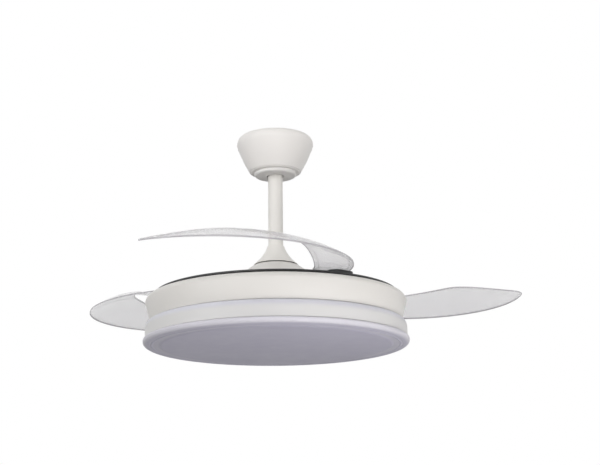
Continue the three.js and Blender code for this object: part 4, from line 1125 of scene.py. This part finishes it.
def at_pivot(station, opening):
    """Swings a piece about its pin, leans it, and sets it at its station on the disc."""
    out = Matrix.Translation((PIVOT_RADIUS, 0, 0))
    return turn_by(station) @ out @ leaning() @ turn_by(opening)


for number, station in enumerate(PIVOT_ANGLES, 1):
    vertices, faces, rim = blade_sheet()
    data = mesh_data("blade", vertices, faces)
    # The second finish, on the rim's faces, is the darker painted shade line.
    for name in ("clear_acrylic", "clear_acrylic_rim"):
        data.materials.append(FINISHES[name])
    data.polygons.foreach_set("material_index", [int(i in rim) for i in range(len(faces))])
    blade = tidy_mesh(f"clear_blade_{number}", data)
    round_rim = blade.modifiers.new("round_rim", "BEVEL")
    round_rim.width = RIM_ROUND * MM
    round_rim.segments = RIM_STEPS
    round_rim.limit_method = "ANGLE"
    round_rim.angle_limit = math.radians(RIM_ANGLE)
    settle(blade)
    combine(blade, [bar(PIVOT_PIN + GAP + BUSH_WALL + GAP, 3 * HUB_HEIGHT, "Z",
                        (0, 0, blade_seat + HUB_HEIGHT / 2), BORE_FACETS)])
    blade.data.transform(in_metres(at_pivot(station, BLADE_OPENING)))
    dress(blade, f"blade_{number}_body", [f"blade_{number}"], "clear_acrylic",
          "clear_acrylic_rim")
    print("of these, on the rim:", sum(face.material_index for face in blade.data.polygons))


# %% [markdown]
# What repeats at each pivot or screw is drawn once and set round the axis by a small node tree:
# a circle of points, one copy turned outward at each, made real and given its finish.

# %% Circle of copies
def node_group(name, sockets):
    """A geometry tree that takes these sockets, and the outputs of its input node."""
    tree = bpy.data.node_groups.new(name, "GeometryNodeTree")
    tree.interface.new_socket("Geometry", in_out="OUTPUT", socket_type="NodeSocketGeometry")
    for label, kind in sockets.items():
        tree.interface.new_socket(label, in_out="INPUT", socket_type=f"NodeSocket{kind}")
    return tree, add_node(tree, "NodeGroupInput").outputs


def grown(name, tree, values):
    """A plain mesh object that the tree makes from these values."""
    holder = in_scene(name, bpy.data.meshes.new(name))
    step = holder.modifiers.new("grow", "NODES")
    step.node_group = tree
    for item in tree.interface.items_tree:
        if item.in_out == "INPUT":
            step[item.identifier] = values[item.name]
    return settle(holder)


copies_tree, given = node_group("copies_round_axis", {
    "Piece": "Object", "Finish": "Material", "Circle radius": "Float", "First angle": "Float",
    "Count": "Int",
})
circle = add_node(copies_tree, "GeometryNodeMeshCircle", {
    "Vertices": given["Count"], "Radius": given["Circle radius"],
})
turn = add_node(copies_tree, "ShaderNodeCombineXYZ", {"Z": given["First angle"]})
aimed = add_node(copies_tree, "GeometryNodeTransform", {
    "Geometry": circle.outputs["Mesh"], "Rotation": turn.outputs[0],
})
where = add_node(copies_tree, "GeometryNodeInputPosition")
outward = add_node(copies_tree, "FunctionNodeAlignRotationToVector",
                   {"Vector": where.outputs[0]}, axis="X")
model = add_node(copies_tree, "GeometryNodeObjectInfo", {"Object": given["Piece"]})
copies = add_node(copies_tree, "GeometryNodeInstanceOnPoints", {
    "Points": aimed.outputs[0], "Instance": model.outputs["Geometry"],
    "Rotation": outward.outputs[0],
})
real = add_node(copies_tree, "GeometryNodeRealizeInstances", {0: copies.outputs[0]})
coated = add_node(copies_tree, "GeometryNodeSetMaterial", {
    "Geometry": real.outputs[0], "Material": given["Finish"],
})
add_node(copies_tree, "NodeGroupOutput", {0: coated.outputs[0]})


def round_axis(name, piece, body, nodes, finish_name, radius, first):
    """Copies a piece, drawn at its own height on the axis, three times round the fan."""
    made = grown(name, copies_tree, {
        "Piece": piece, "Finish": FINISHES[finish_name], "Circle radius": radius * MM,
        "First angle": math.radians(first), "Count": len(THIRDS),
    })
    shade(made.data)
    bpy.data.objects.remove(piece)
    dress(made, body, three(nodes), finish_name)


# %% [markdown]
# A pan-head screw has a low domed head with a cross recess. It is drawn once for each length.

# %% Screws
SCREW_FACETS, SCREW_TIP_SHARE, SLOT_BREADTH, SLOT_DEEP, SLOT_SHARE = 32, 0.6, 0.9, 1.8, 1.1
HEAD_RADIUS, HEAD_HEIGHT, HEAD_STEPS = 4.0, 2.0, 8
PAN_SCREW_CIRCLE, PAN_SCREW_ANGLE, PAN_DROP, PAN_THICKNESS = 196.0, 90, 9.0, 1.5


def screw(level, length, down=1, radius=SCREW_RADIUS, head_radius=HEAD_RADIUS,
          head_height=HEAD_HEIGHT):
    """A screw on the axis: its head stands on the level, or hangs under it when down is -1."""
    head = arc((0, level), (head_radius, down * head_height), 0, 90, HEAD_STEPS)
    tip, crown = level - down * length, level + down * head_height
    made = turned("screw", [
        (0, tip), (radius * SCREW_TIP_SHARE, tip), (radius, level - down * (length - 1)),
        (radius, level), (head_radius, level), *head[1:-1], (0, crown),
    ], SCREW_FACETS, closed=False)
    slot = head_radius * SLOT_SHARE
    combine(made, [
        block("slot", (slot, SLOT_BREADTH, SLOT_DEEP), (0, 0, crown)),
        block("slot", (SLOT_BREADTH, slot, SLOT_DEEP), (0, 0, crown)),
    ])
    return made


pan_top = chassis_foot - PAN_DROP
for name, body, nodes, level, length, down, circle, first in (
    ("dome_screws", "rotor", "dome_screw", dome_foot + DOME_WALL + GAP,
     DOME_WALL + DISC_THICKNESS, 1, DOME_SCREW_CIRCLE, DOME_SCREW_ANGLE),
    ("ring_screws", "hanging_drum", "housing_screw", flange_foot - GAP,
     3 * HOUSING_WALL + CHASSIS_THICKNESS, -1, SCREW_CIRCLE, SCREW_ANGLE),
    ("pan_screws", "hanging_drum", "pan_screw", pan_top - PAN_THICKNESS - GAP,
     PAN_THICKNESS + PAN_DROP, -1, PAN_SCREW_CIRCLE, PAN_SCREW_ANGLE),
):
    round_axis(name, screw(level, length, down), body, nodes, "bright_steel", circle, first)


# %% [markdown]
# Each blade turns on a pin in a low black bracket. The bracket is a rounded bar with a pocket for
# the return spring. Its top slopes with the pin's lean, so the blade lies flat on it.

# %% Pivot brackets
BRACKET_LENGTH, BRACKET_WIDTH, BRACKET_EDGE, BRACKET_STEPS = 50.0, 32.0, 0.9, 24
SPRING_RADIUS, SPRING_WIRE, POCKET_TOOL, LEAN_ROOM = 8.0, 0.5, 10.0, 0.1
bracket_foot = disc_top + GAP


def bracket_bar(shape):
    """A bar with round ends, along Y, with softened edges."""
    radius, half = BRACKET_WIDTH / 2, (BRACKET_LENGTH - BRACKET_WIDTH) / 2
    outline = []
    for end, start in ((half, 0), (-half, math.pi)):
        for i in range(BRACKET_STEPS + 1):
            angle = start + math.pi * i / BRACKET_STEPS
            outline.append((radius * math.cos(angle), end + radius * math.sin(angle)))
    low = [shape.verts.new((x, y, bracket_foot)) for x, y in outline]
    bottom = shape.faces.new(low)
    raised = bmesh.ops.extrude_face_region(shape, geom=[bottom])["geom"]
    top = [v for v in raised if isinstance(v, bmesh.types.BMVert)]
    slope = math.tan(math.radians(PIVOT_LEAN))
    for corner in top:
        corner.co.z += BRACKET_HEIGHT - slope * corner.co.x
    soften(shape, [e for e in shape.edges if all(v in top for v in e.verts)], BRACKET_EDGE)


bracket = shaped("bracket", bracket_bar)
combine(bracket, [
    bar(PIVOT_PIN + GAP + LEAN_ROOM, 2 * POCKET_TOOL, "Z", (LEAN_ROOM, 0, disc_top),
        SEAT_FACETS),
    bar(SPRING_RADIUS + SPRING_WIRE + GAP, POCKET_TOOL, "Z",
        (0, 0, bracket_foot + SPRING_WIRE + POCKET_TOOL / 2), POCKET_FACETS),
])
round_axis("pivot_brackets", bracket, "rotor", "blade_bracket", "black_plastic",
           PIVOT_RADIUS, PIVOT_ANGLES[0])


# %% [markdown]
# The pin is a turned stud with a wide flat head that holds the blade down, and a hexagon socket
# in the head.

# %% Pivot pins
PIN_HEAD_RADIUS, PIN_HEAD_HEIGHT, PIN_FACETS = 7.5, 1.0, 56
HEX_RADIUS, HEX_DEPTH, HEX_SIDES = 2.6, 1.2, 6
pin_head = blade_seat + HUB_HEIGHT + GAP
pin_crown = pin_head + PIN_HEAD_HEIGHT
pin = turned("pin", [
    (0, disc_foot), (PIVOT_PIN, disc_foot), (PIVOT_PIN, pin_head), (PIN_HEAD_RADIUS, pin_head),
    (PIN_HEAD_RADIUS, pin_crown - EDGE), (PIN_HEAD_RADIUS - EDGE, pin_crown), (0, pin_crown),
], PIN_FACETS, closed=False)
combine(pin, [bar(HEX_RADIUS, HEX_DEPTH, "Z", (0, 0, pin_crown), HEX_SIDES)])
pin.data.transform(in_metres(leaning()))
round_axis("pivot_pins", pin, "rotor", "pivot_pin", "bright_steel", PIVOT_RADIUS, PIVOT_ANGLES[0])


# %% [markdown]
# The return spring is one wire wound round the pin. A spiral with a round section gives it the
# true path, so it is drawn by nodes too.

# %% Pivot springs
SPRING_TURNS, SPRING_STEPS, WIRE_STEPS = 1.75, 40, 10

spring_tree, given = node_group("wound_spring", {
    "Coil radius": "Float", "Wire radius": "Float", "Turns": "Float", "Rise": "Float",
})
spiral = add_node(spring_tree, "GeometryNodeCurveSpiral", {
    "Resolution": SPRING_STEPS, "Rotations": given["Turns"], "Height": given["Rise"],
    "Start Radius": given["Coil radius"], "End Radius": given["Coil radius"],
})
section = add_node(spring_tree, "GeometryNodeCurvePrimitiveCircle", {
    "Resolution": WIRE_STEPS, "Radius": given["Wire radius"],
})
wire = add_node(spring_tree, "GeometryNodeCurveToMesh", {
    "Curve": spiral.outputs[0], "Profile Curve": section.outputs[0], "Fill Caps": True,
})
add_node(spring_tree, "NodeGroupOutput", {0: wire.outputs[0]})

pocket_depth = BRACKET_HEIGHT - SPRING_WIRE
holder = grown("spring", spring_tree, {
    "Coil radius": (SPRING_RADIUS - SPRING_WIRE) * MM, "Wire radius": SPRING_WIRE * MM,
    "Turns": SPRING_TURNS, "Rise": (pocket_depth - 2 * SPRING_WIRE - 2 * GAP) * MM,
})
wound = holder.data
bpy.data.objects.remove(holder)
lift = disc_top + GAP + 2 * SPRING_WIRE + GAP
wound.transform(Matrix.Translation((0, 0, lift * MM)))
round_axis("pivot_springs", tidy_mesh("spring_model", wound), "rotor", "pivot_spring",
           "bright_steel", PIVOT_RADIUS, PIVOT_ANGLES[0])


# %% [markdown]
# A nylon bush in each blade keeps the acrylic off the steel pin. The bush swings with its blade,
# so there are three separate ones.

# %% Bushes
BUSH_EDGE = 0.3
bush_bore = PIVOT_PIN + GAP
for number, station in enumerate(PIVOT_ANGLES, 1):
    bush = tube(f"nylon_bush_{number}", (
        bush_bore, bush_bore + BUSH_WALL, blade_seat, blade_seat + HUB_HEIGHT,
    ), BUSH_EDGE, BORE_FACETS)
    bush.data.transform(in_metres(at_pivot(station, 0)))
    dress(bush, f"blade_{number}_body", [f"pivot_bush_{number}"], "nylon")


# %% [markdown]
# Two screws through the canopy's side hold it to the ears of the hanger bracket. They are painted
# with it.

# %% Canopy screws
SHEET, ARM_SPACING, ARM_WIDTH = 2.5, 96.0, 30.0
for side, label in zip(SIDES, ("left", "right")):
    canopy_screw = screw(0.0, CANOPY_SCREW_SEAT - ARM_SPACING / 2 - SHEET, radius=CANOPY_SCREW,
                         head_radius=2 * CANOPY_SCREW, head_height=CANOPY_SCREW_HEAD)
    canopy_screw.data.transform(
        Matrix.Translation((side * CANOPY_SCREW_SEAT * MM, 0, -SCREW_DROP * MM))
        @ Matrix.Rotation(side * math.pi / 2, 4, "Y")
    )
    canopy_screw.name = f"canopy_side_screw_{label}"
    # The heads take the canopy's lightened paint, which is painted light.
    dress(canopy_screw, "ceiling_mount", [f"canopy_screw_{label}"], "canopy_paint_painted_light")


# %% [markdown]
# The hanger bracket is bent steel: a round plate with two ceiling slots and a cable hole, two
# arms, and a ring that the ball sits in. It shows from above, so it has its real holes.

# %% Hanger bracket
PLATE_RADIUS, PLATE_EDGE, ARM_EDGE, EAR_EDGE, ARM_TUCK = 52.0, 0.6, 0.35, 0.3, 0.4
SLOT_SPACING, SLOT_LENGTH, SLOT_WIDTH, CABLE_HOLE, CABLE_OFFSET = 70.0, 14.0, 5.5, 9.0, 28.0
BALL_RADIUS, SEAT_DEPTH, PLATE_TOOL, CABLE_TOOL, EAR_TOOL, EAR_HOLE = 27.0, 7.0, 10.0, 12, 30.0, 12
arm_middle = ARM_SPACING / 2
seat_top = BALL_CENTRE - SEAT_DEPTH
seat_foot = seat_top - SHEET
seat_hole = math.sqrt(BALL_RADIUS ** 2 - SEAT_DEPTH ** 2) + 2 * GAP
hanger = tube("hanger_plate", (0, PLATE_RADIUS, -SHEET, 0), PLATE_EDGE, ROD_FACETS, closed=False)
ring_cut = block("ring_cut", (ARM_SPACING, 2 * ARM_WIDTH, SHEET),
                 (0, 0, (seat_top + seat_foot) / 2))
seat_ring = tube("seat_ring", (seat_hole, arm_middle, seat_foot, seat_top), EDGE, ROD_FACETS)
combine(seat_ring, [ring_cut], "INTERSECT")
ear_room = 4 * CANOPY_SCREW + CANOPY_WALL
ear = CANOPY_WIDEST - CANOPY_WALL - GAP - arm_middle - ear_room
arms = [block("arm", (SHEET, ARM_WIDTH, -seat_foot - ARM_TUCK),
              (side * (arm_middle - SHEET / 2), 0, (seat_foot - ARM_TUCK) / 2), ARM_EDGE)
        for side in SIDES]
ears = [block("ear", (ear, ARM_WIDTH / 2, 4 * CANOPY_SCREW),
              (side * (arm_middle + ear / 2 - GAP), 0, -SCREW_DROP), EAR_EDGE)
        for side in SIDES]
combine(hanger, [*arms, seat_ring, *ears], "UNION")
combine(hanger, [
    *[block("slot", (SLOT_LENGTH, SLOT_WIDTH, PLATE_TOOL), (side * SLOT_SPACING / 2, 0, 0))
      for side in SIDES],
    bar(CABLE_HOLE, CABLE_TOOL, "Z", (0, CABLE_OFFSET, 0), BORE_FACETS),
    *[bar(CANOPY_SCREW + GAP, EAR_TOOL, "X", (side * (arm_middle + EAR_HOLE), 0, -SCREW_DROP),
          DRILL_FACETS) for side in SIDES],
])
dress(hanger, "ceiling_mount", ["hanger_bracket"], "zinc_steel")


# %% [markdown]
# The ball that carries the rod is a turned plastic knob, flat above and below, with a cross hole
# for the rod's pin.

# %% Hanger ball
BALL_TOP, BALL_FOOT, BALL_STEPS = 12.0, 19.0, 28
top_angle = math.degrees(math.asin(BALL_TOP / BALL_RADIUS))
foot_angle = math.degrees(math.asin(BALL_FOOT / BALL_RADIUS))
ball = turned("hanger_ball_knob", [
    (bore, BALL_CENTRE - BALL_FOOT),
    *arc((0, BALL_CENTRE), (BALL_RADIUS, BALL_RADIUS), -foot_angle, top_angle,
         BALL_STEPS),
    (bore, BALL_CENTRE + BALL_TOP),
], ROD_FACETS)
combine(ball, [bar(PIN_RADIUS + GAP, PIN_HOLE_LENGTH, "Y", (0, 0, BALL_CENTRE), HOLE_FACETS)])
dress(ball, "hanging_drum", ["hanger_ball"], "black_plastic")


# %% [markdown]
# The receiver, the lamp's driver and the terminal block are moulded boxes with soft edges.

# %% Boxes
for name, body, finish_name, edge in (
    ("receiver_box", "ceiling_mount", "white_plastic", 2.0),
    ("led_driver", "hanging_drum", "white_plastic", 2.0),
    ("terminal_block", "hanging_drum", "nylon", 1.0),
):
    low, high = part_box(name)
    size = tuple((b - a) / MM for a, b in zip(low, high))
    middle = tuple((a + b) / 2 / MM for a, b in zip(low, high))
    dress(block(f"{name}_shell", size, middle, edge), body, [name], finish_name)


# %% [markdown]
# Everything else keeps its CAD shape, which is right as it is, and takes the finish of its slot.

# %% Carried-over nodes
for part in frame["record"]["subparts"]:
    node = frame["nodes"][part["node"]]
    node.data.materials.clear()
    node.data.materials.append(FINISHES[part["material_slot"]])
shown = [n for n, o in frame["nodes"].items() if not o.hide_render]
print("carried over:", sorted(shown))


# %% [markdown]
# The visual model must keep the CAD model's size, so both boxes are written side by side.

# %% Sizes and finish
low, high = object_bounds()
print("visual", [round(v, 4) for v in (*low, *high)])
